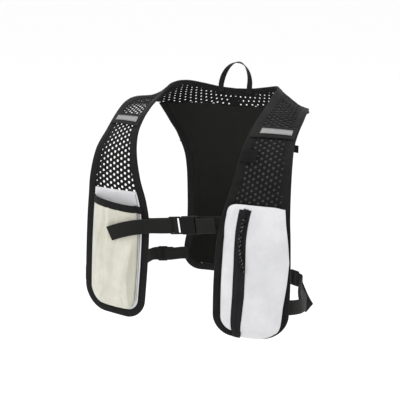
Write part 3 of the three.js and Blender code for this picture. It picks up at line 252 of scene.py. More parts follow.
# Painted shade along the flask pocket's creases: where the cloth is painted darker, and by how much.
FLASK_CREASE_SHADE = table(
    "across up lean wide tall deep",
    (0.61, 0.38, -0.015, 0.014, 0.30, 0.55),
    (0.66, 0.84, 0.020, 0.022, 0.12, 0.60),
    (0.52, 0.84, -0.010, 0.030, 0.14, 0.45),
    (0.38, 0.70, -0.030, 0.030, 0.22, 0.35),
    (0.80, 0.60, -0.060, 0.025, 0.14, 0.50),
    (0.22, 0.08, 0.040, 0.020, 0.07, 0.80),
    (0.70, 0.10, -0.100, 0.050, 0.06, 0.45),
)
ZIP_FOLDS = table(
    "across up lean wide tall deep",
    (0.58, 0.82, 0.10, 0.050, 0.16, -1.0),
    (0.74, 0.76, 0.08, 0.060, 0.20, 0.9),
    (0.88, 0.62, -0.05, 0.045, 0.28, -1.1),
    (0.66, 0.42, 0.04, 0.080, 0.30, 0.7),
    (0.52, 0.20, 0.10, 0.070, 0.16, -0.9),
    (0.80, 0.16, -0.10, 0.080, 0.12, -1.0),
    (0.30, 0.10, 0.10, 0.070, 0.08, -0.8),
    (0.12, 0.50, 0.02, 0.050, 0.40, 0.7),
)


def spline(points, extend=True):
    """A Catmull-Rom curve through the points, for t from 0 to 1."""
    p = np.asarray(points, float)
    first = 2 * p[0] - p[1] if extend else p[0]
    last = 2 * p[-1] - p[-2] if extend else p[-1]
    p = np.vstack([first, p, last])

    def at(t):
        s = np.clip(np.asarray(t, float), 0, 1) * (len(p) - 3)
        k = np.minimum(s.astype(int), len(p) - 4)
        w = (s - k)[..., None]
        a, b, c, d = (p[k + i] for i in range(4))
        bend = 2 * a - 5 * b + 4 * c - d
        turn = 3 * b - a - 3 * c + d
        return 0.5 * (2 * b + (c - a) * w + bend * w**2 + turn * w**3)

    return at


def unit(vectors):
    vectors = np.asarray(vectors, float)
    return vectors / np.maximum(np.linalg.norm(vectors, axis=-1, keepdims=True), 1e-12)


def mix(a, b, share):
    return a + (b - a) * share


def smooth(x, low, high):
    """0 below low, 1 above high, and an S curve between."""
    s = np.clip((np.asarray(x, float) - low) / (high - low), 0, 1)
    return s * s * (3 - 2 * s)


def lengths_along(points):
    """How far along a path each of its points lies."""
    return np.concatenate([[0], np.cumsum(np.linalg.norm(np.diff(points, axis=0), axis=1))])


def mirrored(points, where):
    """The points, with those picked out moved to the other side of the vest."""
    return points * np.stack([np.where(where, -1, 1), np.ones(where.shape), np.ones(where.shape)], -1)


def edge_line(front_edge, back_edge):
    """One edge of the left side, from the hem over the shoulder to the middle of the back."""
    front = STRAP_SECTIONS
    back = YOKE_SECTIONS
    front_points = np.stack([
        front[front_edge + "Out"] * CHEST_HALF,
        -front[front_edge + "Fore"] * CHEST_DEPTH,
        front[front_edge + "Up"] * FRONT_DROP,
    ], 1)
    back_points = np.stack([
        back[back_edge + "Out"] * CHEST_HALF,
        back[back_edge + "Back"] * BACK_DEPTH,
        back[back_edge + "Up"] * NECK_RISE,
    ], 1)
    return spline(np.vstack([front_points, back_points]))


NECK_EDGE = edge_line("neck", "neck")
ARM_EDGE = edge_line("arm", "low")
SECTION_STEPS = len(STRAP_SECTIONS["crown"]) + len(YOKE_SECTIONS["crown"]) - 1
SEAM = (len(STRAP_SECTIONS["crown"]) - 1) / SECTION_STEPS
CORNER = (len(STRAP_SECTIONS["crown"]) + YOKE_CORNER) / SECTION_STEPS
CROWNS = np.concatenate([STRAP_SECTIONS["crown"], YOKE_SECTIONS["crown"]])
LINE_STEPS = np.linspace(0, 1, 601)
MIDDLE_LINE = (NECK_EDGE(LINE_STEPS) + ARM_EDGE(LINE_STEPS)) / 2
LINE_LENGTHS = lengths_along(MIDDLE_LINE)


def place_at(up):
    """The step along a side, from 0 at the hem to 1 at the middle of the back, at a length in mm."""
    return np.interp(up, LINE_LENGTHS, LINE_STEPS)


def length_at(t):
    return np.interp(t, LINE_STEPS, LINE_LENGTHS)


STRAP_LENGTH = float(length_at(SEAM))
FULL_LENGTH = float(LINE_LENGTHS[-1])


def width_at(t):
    return np.linalg.norm(NECK_EDGE(t) - ARM_EDGE(t), axis=-1)


def from_neck(t, distance):
    """The share across a side, from 0 at its neck edge to 1 at its armhole edge, at a distance in mm."""
    return distance / width_at(t)


def from_arm(t, distance):
    return 1 - distance / width_at(t)


def edge_tangent(edge, t):
    return unit(edge(np.clip(t + 1e-4, 0, 1)) - edge(np.clip(t - 1e-4, 0, 1)))


def strap_normal(side, t, across):
    t, across = np.broadcast_arrays(np.asarray(t, float), np.asarray(across, float))
    width = ARM_EDGE(t) - NECK_EDGE(t)
    along = mix(edge_tangent(NECK_EDGE, t), edge_tangent(ARM_EDGE, t), across[..., None])
    return unit(np.cross(width, along)) * (side, 1, 1)


def strap_point(side, t, across, lift=0.0):
    """Points of one side's strap: t along it, across from neck edge to armhole edge, lift outward."""
    t, across, lift = np.broadcast_arrays(np.asarray(t, float), np.asarray(across, float), lift)
    step = np.clip(t, 0, 1) * SECTION_STEPS
    k = np.minimum(step.astype(int), SECTION_STEPS - 1)
    crown = STRAP_CROWN * mix(CROWNS[k], CROWNS[k + 1], smooth(step - k, 0, 1)) * 4 * across * (1 - across)
    flat = mix(NECK_EDGE(t), ARM_EDGE(t), across[..., None]) * (side, 1, 1)
    return flat + strap_normal(side, t, across) * (crown + lift)[..., None]


def corner_cut(up, radius):
    """How far a rounded corner cuts into a side at a height above the corner's foot."""
    below = np.maximum(0, radius - np.maximum(0, up))
    return radius - np.sqrt(np.maximum(0, radius * radius - below * below))


# Every mesh carries the cloth's own coordinates in millimetres: across, along, and how far a point
# lies from the nearest sewn edge.
FAR_FROM_EDGE = 9


def mesh_object(name, vertices, faces, cloth, material, smooth_faces=True):
    mesh = bpy.data.meshes.new(name)
    mesh.from_pydata((np.asarray(vertices) * MM).tolist(), [], [list(map(int, f)) for f in faces])
    mesh.validate()
    layer = mesh.attributes.new("cloth", "FLOAT_VECTOR", "POINT")
    layer.data.foreach_set("vector", np.asarray(cloth, np.float32).ravel())
    mesh.polygons.foreach_set("use_smooth", [smooth_faces] * len(mesh.polygons))
    mesh.materials.append(material)
    piece = bpy.data.objects.new(name, mesh)
    SCENE.collection.objects.link(piece)
    return piece


def edgeless_cloth(across, along):
    """Cloth coordinates of a surface that has no sewn edge."""
    return np.stack([across, along, np.full(across.shape, FAR_FROM_EDGE)], -1).reshape(-1, 3)


def joined(parts):
    """One mesh's vertices, faces and cloth coordinates from those of several."""
    vertices, faces, cloths = [], [], []
    count = 0
    for part_vertices, part_faces, part_cloth in parts:
        vertices.append(part_vertices)
        faces += [[i + count for i in face] for face in part_faces]
        cloths.append(part_cloth)
        count += len(part_vertices)
    return np.vstack(vertices), faces, np.vstack(cloths)


def welded(points, per_mm):
    """Joins points that fall together: which are kept, and which of those each point became."""
    keys = np.rint(points * per_mm).astype(np.int64)
    kept, became = np.unique(keys, axis=0, return_index=True, return_inverse=True)[1:]
    return kept, became.ravel()


def grid_normals(grid):
    return unit(np.cross(np.gradient(grid, axis=0), np.gradient(grid, axis=1)))


def grid_lengths(grid):
    """Distances in millimetres across and along a grid."""
    across = np.zeros(grid.shape[:2])
    across[:, 1:] = np.cumsum(np.linalg.norm(np.diff(grid, axis=1), axis=-1), axis=1)
    along = np.zeros(grid.shape[:2])
    along[1:] = np.cumsum(np.linalg.norm(np.diff(grid, axis=0), axis=-1), axis=0)
    return across, along


def sheet_parts(grid, low, high, outward):
    """The vertices, faces and cloth coordinates of a closed sheet over a grid of points."""
    rows, columns = grid.shape[:2]
    normals = grid_normals(grid)
    turned = np.sum(normals[rows // 2, columns // 2] * outward) < 0
    if turned:
        normals = -normals
    low = np.broadcast_to(low, (rows, columns))[..., None]
    high = np.broadcast_to(high, (rows, columns))[..., None]
    vertices = np.vstack([(grid + normals * high).reshape(-1, 3), (grid + normals * low).reshape(-1, 3)])
    under = rows * columns
    index = np.arange(under).reshape(rows, columns)
    top = np.stack([index[:-1, :-1], index[1:, :-1], index[1:, 1:], index[:-1, 1:]], -1).reshape(-1, 4)
    bottom = top[:, [0, 3, 2, 1]] + under
    ring = np.concatenate([index[:, 0], index[-1, 1:], index[-2::-1, -1], index[0, -2:0:-1]])
    after = np.roll(ring, -1)
    rim = np.stack([ring, ring + under, after + under, after], -1)
    faces = np.vstack([top, bottom, rim])
    if turned:
        faces = faces[:, ::-1]
    across, along = grid_lengths(grid)
    edge = np.minimum.reduce([across, across[:, -1:] - across, along, along[-1:] - along])
    cloth = np.stack([across, along, edge], -1).reshape(-1, 3)
    return vertices, faces, np.vstack([cloth, cloth])


def rim_shares(rows, columns, sides, ends, beside=1.0):
    """Shares of a sheet's full thickness over its grid, less at its sides, next to them and at its ends."""
    shares = np.ones((rows, columns))
    shares[:, [0, -1]] *= sides
    shares[:, [1, -2]] *= beside
    shares[[0, -1]] *= ends
    return shares


def rounded(rows, columns, low, high):
    """The two faces of a sheet, which close in at its rim so that its edges are round."""
    middle = (low + high) / 2
    half = (high - low) / 2 * rim_shares(rows, columns, 0.5, 0.5)
    return middle - half, middle + half


def finish_piece(piece, slot, *nodes):
    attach(piece, "root")
    if nodes:
        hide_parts(*nodes)
    return piece


def sheet_piece(name, grid, low, high, outward, material, slot, *nodes):
    parts = sheet_parts(grid, low, high, outward)
    return finish_piece(mesh_object(name, *parts, material), slot, *nodes)


class Value:
    """A number that varies over a surface. Arithmetic on it adds Math nodes to its material."""

    def __init__(self, paint, socket):
        self.paint = paint
        self.socket = socket

    def math(self, operation, *others):
        inputs = dict(enumerate((self, *others)))
        return self.paint.node("ShaderNodeMath", {"operation": operation}, inputs)

    def __add__(self, other):
        return self.math("ADD", other)

    def __sub__(self, other):
        return self.math("SUBTRACT", other)

    def __rsub__(self, other):
        return self.paint.node("ShaderNodeMath", {"operation": "SUBTRACT"}, {0: other, 1: self})

    def __mul__(self, other):
        return self.math("MULTIPLY", other)

    def __mod__(self, other):
        return self.math("FLOORED_MODULO", other)

    def __abs__(self):
        return self.math("ABSOLUTE")

    def most(self, other):
        return self.math("MAXIMUM", other)

    def wave(self, pitch):
        """A wave of height 0 to 1 that repeats every pitch."""
        return (self * (2 * math.pi / pitch)).math("SINE") * 0.5 + 0.5

    def ramp(self, low, high):
        """0 at low and 1 at high, smooth between."""
        inputs = {"Value": self, "From Min": low, "From Max": high}
        return self.paint.node("ShaderNodeMapRange", {"interpolation_type": "SMOOTHSTEP"}, inputs)

    __radd__ = __add__
    __rmul__ = __mul__


class Paint:
    """A material and its nodes."""

    def __init__(self, name, roughness, **constants):
        self.material = bpy.data.materials.new(name)
        self.material.use_nodes = True
        self.nodes = self.material.node_tree.nodes
        self.links = self.material.node_tree.links
        self.shader = self.nodes["Principled BSDF"]
        self.shader.inputs["Roughness"].default_value = roughness
        for socket, value in constants.items():
            self.shader.inputs[socket.replace("_", " ")].default_value = value

    def node(self, kind, settings=None, inputs=None, output=0):
        made = self.nodes.new(kind)
        for name, value in (settings or {}).items():
            setattr(made, name, value)
        for key, value in (inputs or {}).items():
            self.feed(made.inputs[key], value)
        return Value(self, made.outputs[output])

    def feed(self, socket, value):
        if isinstance(value, Value):
            self.links.new(value.socket, socket)
        elif isinstance(value, tuple) and len(value) == 3 and socket.type == "RGBA":
            socket.default_value = (*value, 1)
        else:
            socket.default_value = value

    def cloth(self):
        """Across, along and distance from the edge, in millimetres."""
        attribute = self.node("ShaderNodeAttribute", {"attribute_name": "cloth"}, output="Vector")
        parts = self.node("ShaderNodeSeparateXYZ", None, {0: attribute})
        return [Value(self, output) for output in parts.socket.node.outputs]

    def place(self):
        return self.node("ShaderNodeTexCoord", output="Object")

    def noise(self, scale, detail=3, at=None):
        """Soft noise from 0 to 1, scale repeats to the metre."""
        inputs = {"Vector": at or self.place(), "Scale": scale, "Detail": detail}
        return self.node("ShaderNodeTexNoise", None, inputs)

    def blend(self, share, first, second):
        inputs = {"Factor": share, 6: first, 7: second}
        return self.node("ShaderNodeMix", {"data_type": "RGBA"}, inputs, output=2)

    def finish(self, colour, roughness=None, height=None, depth=0.001):
        """height runs from 0 to 1, and depth is what 1 stands for, in metres."""
        self.feed(self.shader.inputs["Base Color"], colour)
        if roughness is not None:
            self.feed(self.shader.inputs["Roughness"], roughness)
        if height is not None:
            inputs = {"Height": height, "Distance": depth, "Strength": 1.0}
            self.feed(self.shader.inputs["Normal"], self.node("ShaderNodeBump", None, inputs))
        return self.material


# How deep a weave stands, in metres, and how far its roughness varies.
WEAVE_DEPTH = 0.0002
MATT_SPREAD = 0.16
WEAR_SPREAD = 0.2
# The bands of the webbing's herringbone and the squares of the light cloth's ripstop, in mm.
HERRINGBONE = 5.0
RIPSTOP = 5.0


def plain_weave(across, along, pitch):
    """The height of a plain weave, from 0 to 1."""
    over = across.wave(2 * pitch) * abs(along.wave(pitch) - 0.5)
    under = along.wave(2 * pitch) * abs(across.wave(pitch) - 0.5)
    return (over + under) * 1.4


def woven_paint(name, dark, light, pitch, roughness, sheen):
    paint = Paint(name, roughness, Sheen_Weight=sheen, Sheen_Roughness=0.5, Specular_IOR_Level=0.12)
    across, along = paint.cloth()[:2]
    weave = plain_weave(across, along, pitch)
    mottle = paint.noise(90, 4)
    share = (mottle * 0.7 + weave * 0.3).ramp(0.25, 0.75)
    colour = paint.blend(share, dark, light)
    return paint.finish(colour, (mottle - 0.5) * MATT_SPREAD + roughness, weave, WEAVE_DEPTH)


def lining_paint_with_painted_shade(name, dark, light):
    """Brushed lining, painted lighter towards the top and darker towards the hem: painted shade of light
    from above.
    """
    paint = Paint(name, 0.9, Sheen_Weight=0.02, Sheen_Roughness=0.5, Specular_IOR_Level=0.12)
    across, along = paint.cloth()[:2]
    weave = plain_weave(across, along, 0.9)
    mottle = paint.noise(60, 4)
    # Painted shade: the colour follows the height, lighter near the top of the back panel and darker
    # towards its hem.
    height = paint.node("ShaderNodeSeparateXYZ", None, {0: paint.place()}, output=2)
    share = (mottle - 0.5) * 0.5 + weave * 0.15 + height.ramp(-0.27, -0.04) * 0.85
    colour = paint.blend(share, dark, light)
    return paint.finish(colour, (mottle - 0.5) * MATT_SPREAD + 0.88, weave, WEAVE_DEPTH)


def webbing_paint(name, dark, light):
    """Woven tape: ribs across it with a herringbone turn, and thicker edges."""
    paint = Paint(name, 0.75, Sheen_Weight=0.04, Specular_IOR_Level=0.14)
    across, along, edge = paint.cloth()
    turned = abs((across % HERRINGBONE) - HERRINGBONE / 2)
    ribs = (along + turned * 1.2).wave(1.7)
    cords = across.wave(1.25)
    height = ribs * 0.6 + cords * 0.4
    wear = paint.noise(160, 4)
    rim = 1 - edge.ramp(0.2, 1.6)
    share = (height * 0.45 + wear * 0.4 + rim * 0.2).ramp(0.2, 0.85)
    return paint.finish(paint.blend(share, dark, light), (wear - 0.5) * WEAR_SPREAD + 0.72, height, 0.0003)


def binding_paint(name, dark, light):
    """Folded elastic tape: fine ribs along it and finer ones across."""
    paint = Paint(name, 0.8, Sheen_Weight=0.05, Sheen_Roughness=0.45, Specular_IOR_Level=0.14)
    across, along = paint.cloth()[:2]
    ribs = across.wave(0.9)
    weft = along.wave(0.7)
    wear = paint.noise(120, 4)
    height = ribs * 0.6 + weft * 0.25
    share = (ribs * 0.3 + wear * 0.7).ramp(0.25, 0.8)
    return paint.finish(paint.blend(share, dark, light), (wear - 0.5) * WEAR_SPREAD + 0.78, height, 0.00022)


def light_cloth_paint(name, shade, bright, crinkle):
    """Light coated cloth with a fine ripstop grid and soft crinkles, with painted shade in its creases and
    in the hollows of its crinkles.
    """
    paint = Paint(name, 0.62, Sheen_Weight=0.1, Specular_IOR_Level=0.35)
    across, along = paint.cloth()[:2]
    weave = plain_weave(across, along, 0.7)
    threads = [1 - abs((way % RIPSTOP) - RIPSTOP / 2).ramp(0.0, 0.28) for way in (across, along)]
    grid = threads[0].most(threads[1])
    folds = paint.noise(55, 5)
    fine = paint.noise(260, 3)
    height = folds * crinkle + fine * 0.25 + weave * 0.05 + grid * 0.08
    soil = paint.noise(22, 3).ramp(0.35, 0.75)
    # The crinkle noise that raises the surface also lightens the colour, so the hollows of the crinkles
    # carry painted shade.
    share = (folds * 0.55 + soil * 0.2 + grid * 0.1 + fine * 0.15).ramp(0.15, 0.75)
    # Painted shade in the creases: the attribute read here blends the colour toward deep, a darker copy of
    # the cloth's dark tone.
    crease_shade = paint.node("ShaderNodeAttribute", {"attribute_name": "crease_shade"}, output="Fac")
    deep = tuple(value * 0.89 for value in shade)
    colour = paint.blend(crease_shade, paint.blend(share, shade, bright), deep)
    return paint.finish(colour, (fine - 0.5) * WEAR_SPREAD + 0.62, height, 0.001)


def plastic_paint(name, dark, light, roughness):
    paint = Paint(name, roughness, Specular_IOR_Level=0.16)
    grain = paint.noise(1800, 2)
    scuff = paint.noise(140, 5).ramp(0.55, 0.8)
    colour = paint.blend(scuff * 0.6 + grain * 0.2, dark, light)
    return paint.finish(colour, scuff * WEAR_SPREAD + roughness, grain, 0.00008)


def cord_paint(name, dark, light):
    """A braid: two sets of strands cross round the cord, with a few light flecks."""
    paint = Paint(name, 0.8, Specular_IOR_Level=0.12)
    across, along = paint.cloth()[:2]
    one = (across * 1.6 + along).wave(2.4)
    other = (across * 1.6 - along).wave(2.4)
    strands = (across * 0.8 + along).wave(4.8)
    fleck = (one * (1 - other) * strands).ramp(0.3, 0.5) * paint.noise(300, 1).ramp(0.46, 0.54)
    return paint.finish(paint.blend(fleck, dark, light), None, one.most(other), 0.0004)


def reflective_paint(name, dark, light):
    """Glass-bead tape: grey, with a fine grain and a slight gloss."""
    paint = Paint(name, 0.42, Specular_IOR_Level=0.4)
    across, along = paint.cloth()[:2]
    beads = paint.noise(2600, 2)
    lines = (across + along).wave(2.0) * 0.5 + (across - along).wave(2.0) * 0.5
    wear = paint.noise(120, 4)
    share = (beads * 0.3 + wear * 0.5 + lines * 0.2).ramp(0.2, 0.8)
    colour = paint.blend(share, dark, light)
    return paint.finish(colour, wear * WEAR_SPREAD + 0.35, beads + lines * 0.5, 0.00012)


def grey(value):
    return (value, value, value)


BLACK_NET = woven_paint("black net cloth", grey(0.005), grey(0.013), 0.6, 0.85, 0.03)
BLACK_CLOTH = woven_paint("black woven cloth", grey(0.005), grey(0.011), 0.8, 0.85, 0.03)
LINING = lining_paint_with_painted_shade("olive black lining", (0.0028, 0.0032, 0.0024), (0.0145, 0.015, 0.0125))
STRAP_LINING = woven_paint(
    "dark grey strap lining", (0.070, 0.070, 0.069), (0.100, 0.100, 0.098), 0.9, 0.9, 0.05
)
BINDING = binding_paint("black binding", grey(0.005), grey(0.0135))
WEBBING = webbing_paint("black webbing", (0.005, 0.005, 0.0045), (0.020, 0.020, 0.0185))
WHITE_CLOTH = light_cloth_paint("white cloth", (0.585, 0.585, 0.602), (0.705, 0.705, 0.717), 0.5)
CREAM_CLOTH = light_cloth_paint("cream cloth", (0.555, 0.542, 0.452), (0.70, 0.688, 0.595), 0.9)
ZIP_TAPE = woven_paint("black zip tape", (0.009, 0.009, 0.010), (0.016, 0.016, 0.018), 0.7, 0.7, 0.03)
REFLECTIVE = reflective_paint("grey reflective tape", grey(0.175), grey(0.27))
PLASTIC = plastic_paint("black buckle plastic", (0.0015, 0.0015, 0.0012), (0.0045, 0.0045, 0.004), 0.5)
BUCKLE_BAR = plastic_paint("dark grey buckle plastic", (0.006, 0.006, 0.0065), (0.015, 0.015, 0.016), 0.5)
SLIDER = plastic_paint("black slider", (0.005, 0.005, 0.006), (0.020, 0.020, 0.022), 0.35)
CORD = cord_paint("black braided cord", (0.004, 0.004, 0.0045), (0.42, 0.42, 0.38))
DARK_THREAD = woven_paint("black thread", grey(0.008), grey(0.024), 0.5, 0.6, 0.03)
GREY_THREAD = woven_paint("grey zip teeth", (0.13, 0.13, 0.14), (0.26, 0.26, 0.27), 0.5, 0.6, 0.03)

# The camera and the zip's pull cord.
CAMERA_AZIMUTH = math.radians(22)
CAMERA_ELEVATION = math.radians(18.15)
CAMERA_TARGET = np.array([-26.14, -22.83, -139.33])
CAMERA_DISTANCE = 1200.5
CAMERA_LENS = 75.708
toward = np.array([
    math.sin(CAMERA_AZIMUTH) * math.cos(CAMERA_ELEVATION),
    -math.cos(CAMERA_AZIMUTH) * math.cos(CAMERA_ELEVATION),
    math.sin(CAMERA_ELEVATION),
])
camera_data = bpy.data.cameras.new("camera")
camera_data.lens = CAMERA_LENS
camera_data.sensor_width = 36
camera_data.clip_start = 0.01
camera = bpy.data.objects.new("camera", camera_data)
camera.location = Vector((CAMERA_TARGET + toward * CAMERA_DISTANCE) * MM)
camera.rotation_euler = Vector(-toward).to_track_quat("-Z", "Y").to_euler()
SCENE.collection.objects.link(camera)
SCENE.camera = camera

# Pockets.
CLOTH_HALF = PANEL_CLOTH / 2
POCKET_RIM = CLOTH_HALF + GAP + CLOTH_HALF
BINDING_INSET = BINDING_WIDTH + GAP
POCKET_INSET = BINDING_INSET + CLOTH_HALF
ZIP_POCKET = {
    "height": PANEL_HEIGHT, "depth": ZIP_POCKET_DEPTH, "neckMargin": 0, "slant": 0,
    "up": ZIP_POCKET_UP, "across": ZIP_ACROSS, "side": 1, "full": True,
}
FLASK_POCKET = {
    "height": FLASK_POCKET_HEIGHT, "depth": FLASK_POCKET_DEPTH, "neckMargin": SIDE_ZIP_WIDTH + 2 * GAP,
    "slant": FLASK_MOUTH_SLANT, "up": FLASK_POCKET_UP, "across": FLASK_ACROSS, "side": -1, "full": False,
}
# How far the full zipped pocket's cloth hangs over the bindings beside it, up its height, in mm.
ZIP_OVERHANG = table(
    "at neck arm up",
    (0.00, 0.0, 0.0, 0.0), (0.10, 0.0, 0.5, 0.0), (0.22, 0.0, 1.5, 0.0), (0.42, 0.0, 5.5, 0.0),
    (0.60, 0.0, 8.5, 0.0), (0.75, 0.5, 7.5, 0.0), (0.88, 3.5, 6.0, 1.5), (0.95, 5.0, 5.5, 3.5),
    (1.00, 5.5, 5.0, 4.5),
)
ZIP_CORNER = 9.0
ZIP_STAND_OFF = 1.6


def zip_overhang(row_at, column_at, column_rise):
    """How far the cloth hangs past the neck side, the armhole side and the top, and stands off there."""
    neck, arm, up = (
        np.interp(row_at, ZIP_OVERHANG["at"], ZIP_OVERHANG[name]) for name in ("neck", "arm", "up")
    )
    neck = neck * (1 - smooth(column_at, 0.0, 0.22))
    arm = arm * smooth(column_at, 0.55, 1.0) * np.minimum(1, column_rise / 0.4)
    corner = ZIP_CORNER * (1 - np.sqrt(np.clip(1 - (1 - np.clip(column_at / 0.12, 0, 1)) ** 2, 0, 1)))
    up = up * (1 - 0.35 * smooth(column_at, 0.8, 1.0)) - corner * smooth(row_at, 0.9, 1.0)
    off = smooth(neck, 0.5, 3.0) + smooth(arm, 1, 4) * (1 - smooth(column_rise, 0.2, 0.4))
    return neck, arm, up, ZIP_STAND_OFF * off


def pocket_point(pocket, row, column, lift=0.0, cut=1.0):
    """Points of a pocket's wall. row and column are arrays of (at, rise) that fit each other's shape.
    cut is how far the rounded corners of the hem narrow it."""
    row_at, row_rise = row
    column_at, column_rise = column
    neck_over = arm_over = raised = off = 0.0
    arm_share = 1.0
    if pocket["full"]:
        neck_over, arm_over, raised, off = zip_overhang(row_at, column_at, column_rise)
        arm_share = 1 - 0.92 * row_rise
    tall = pocket["height"] - POCKET_INSET
    above = tall * np.maximum(0, row_at)
    share = np.maximum(0, row_at) + np.minimum(0, row_at) * column_rise
    up = POCKET_INSET + (tall + pocket["slant"] * (column_at - 0.5)) * share + raised
    t_width = place_at(POCKET_INSET + above)
    neck_cut = corner_cut(above, HEM_RADIUS_NECK - POCKET_INSET) * cut
    arm_cut = corner_cut(above, HEM_RADIUS_ARM - POCKET_INSET) * cut * arm_share
    first = from_neck(t_width, POCKET_INSET + pocket["neckMargin"] + neck_cut)
    last = from_arm(t_width, POCKET_INSET + arm_cut)
    past = np.maximum(0, column_at - 1) * row_rise
    across = mix(first, last, np.minimum(1, column_at) + past) + (arm_over - neck_over) / width_at(t_width)
    rise = POCKET_RIM + pocket["depth"] * row_rise * column_rise + lift + off
    return strap_point(pocket["side"], place_at(np.maximum(0, up)), across, rise)


def rises(rows, at, start=0):
    """The rise at a share of a pocket's height or width, from its table."""
    return np.interp(at, rows["at"][start:], rows["rise"][start:])


def table_line(rows, count, first=0.0, last=1.0):
    """A smooth run through a pocket's table, as (at, rise)."""
    points = spline(np.stack([rows["at"], rows["rise"]], 1))(np.linspace(first, last, count))
    return points[:, 0], np.maximum(0, points[:, 1])


def share_up(pocket, up):
    return (up - POCKET_INSET) / (pocket["height"] - POCKET_INSET)


def pocket_seat(up, at, lift):
    """A point on the zipped pocket by its height and its share across."""
    row_at = share_up(ZIP_POCKET, up)
    row = (row_at, rises(ZIP_POCKET_UP, row_at, 3))
    return pocket_point(ZIP_POCKET, row, (at, rises(ZIP_ACROSS, at)), lift)


def frames_along(points):
    """Two directions across a path at each of its points, square to it and to each other."""
    tangents = unit(np.gradient(points, axis=0))
    first = np.zeros_like(points)
    first[0] = unit(np.cross(tangents[0], (0.3, 0.2, 1)))
    for k in range(1, len(points)):
        first[k] = unit(first[k - 1] - tangents[k] * np.dot(first[k - 1], tangents[k]))
    return first, np.cross(tangents, first)


def tube_parts(points, radii, sides):
    """A round closed tube along a path, with a radius at each point."""
    first, second = frames_along(points)
    turns = np.linspace(0, 2 * math.pi, sides, endpoint=False)
    ring = first[:, None] * np.cos(turns)[None, :, None] + second[:, None] * np.sin(turns)[None, :, None]
    vertices = (points[:, None] + ring * np.asarray(radii)[:, None, None]).reshape(-1, 3)
    index = np.arange(len(points) * sides).reshape(len(points), sides)
    after = np.roll(index, -1, axis=1)
    faces = np.stack([index[:-1], after[:-1], after[1:], index[1:]], -1).reshape(-1, 4).tolist()
    faces += [index[0, ::-1].tolist(), index[-1].tolist()]
    around = np.minimum(turns, 2 * math.pi - turns) * np.max(radii)
    across, along = np.broadcast_arrays(around[None], lengths_along(points)[:, None])
    return vertices, faces, edgeless_cloth(across, along)


def zip_pull_cord():
    lift = CLOTH_HALF + PULL_CORD_ROUTE["off"] + 0.3
    share = np.linspace(0, 1, 90)
    path = spline(pocket_seat(PULL_CORD_ROUTE["up"], PULL_CORD_ROUTE["across"], lift))(share)
    taper = 0.5 * smooth(share, 0.985, 1.0) + 0.3 * (1 - smooth(share, 0, 0.02))
    radius = PULL_CORD_DIAMETER / 2 * (1 - taper)
    piece = mesh_object("zip_pull_cord_braided", *tube_parts(path, radius, 16), CORD)
    finish_piece(piece, "cord", "zip_pull_cord")
    tuple(path[0] * MM)
    lengths_along(path)[-1] * MM
    (path * MM).tolist()


zip_pull_cord()

# Stitches: the length of each, their pitch, their width and how far they stand off the cloth, in mm.
BINDING_STITCH = (2.2, 3.4, 0.5, 0.12)
MOUTH_STITCH = (2.2, 3.4, 0.45, 0.05)
ZIP_STITCH = (2.0, 3.0, 0.4, 0.05)
TAPE_STITCH = (1.8, 2.8, 0.4, 0.05)


def stitches(name, path, normals, stitch, thread, slot):
    """A line of stitches along a path on a surface, as one mesh of small rounded bars."""
    length, pitch, width, lift = stitch
    lengths = lengths_along(path)
    count = max(1, int(lengths[-1] // pitch))
    starts = (np.arange(count) + 0.5) * lengths[-1] / count - length / 2
    shares = np.linspace(0, 1, 5)
    arch = lift + 0.16 * np.sin(math.pi * shares) - 0.25 * (np.abs(shares - 0.5) > 0.45)
    radius = width / 2 * np.array([0.55, 1, 1, 1, 0.55])
    parts = []
    for start in starts:
        here = start + length * shares
        points = np.stack([np.interp(here, lengths, path[:, k]) for k in range(3)], 1)
        up = unit(np.stack([np.interp(here, lengths, normals[:, k]) for k in range(3)], 1))
        parts.append(tube_parts(points + up * arch[:, None], radius, 6))
    finish_piece(mesh_object(name, *joined(parts), thread), slot)


# Bindings: folded tape, round at its outer edge, with a sewn line near its inner edge.
# Columns from the outer edge: distance in mm and the share of the full height there.
BINDING_PROFILE = table(
    "at share",
    (0.0, 0.10), (0.12, 0.45), (0.45, 0.75), (1.0, 0.95), (1.9, 1.0), (3.4, 0.98), (5.2, 0.92), (6.8, 0.90),
    (7.6, 0.80), (8.2, 0.58), (8.8, 0.80), (9.6, 0.82), (10.2, 0.70), (10.5, 0.30),
)
SEWN_LINE = 8.2
SEWN_HEIGHT = 0.85


def binding_piece(node, point, count, outward):
    """A node's folded tape. point(k, d) gives points k of the way along, d mm in from its outer edge."""
    name = node + "_folded"
    along = np.linspace(0, 1, count)[:, None]
    across = BINDING_PROFILE["at"][None]
    grid = point(*np.broadcast_arrays(along, across))
    puckers = 1 + 0.05 * np.sin(np.arange(count) * 2.1)[:, None] * (across > 6)
    height = BINDING_THICK / 2 * BINDING_PROFILE["share"][None] * puckers
    sheet_piece(name, grid, -height, height, outward, BINDING, "binding", node)
    along = np.linspace(0.003, 0.997, count)
    line = point(along, np.full(count, SEWN_LINE))
    inner = point(along, np.full(count, SEWN_LINE + 1))
    normals = unit(np.cross(np.gradient(line, axis=0), inner - line))
    if np.sum(normals[count // 2] * outward) < 0:
        normals = -normals
    line = line + normals * SEWN_HEIGHT
    stitches(name + "_stitches", line, normals, BINDING_STITCH, DARK_THREAD, "binding")


def edge_binding(node, side, t_from, t_to, from_edge, count):
    """The binding of one edge between two steps along it."""
    def point(k, d):
        t = t_from + (t_to - t_from) * k
        return strap_point(side, t, from_edge(t, d))
    binding_piece(node, point, count, strap_normal(side, (t_from + t_to) / 2, 0.5))


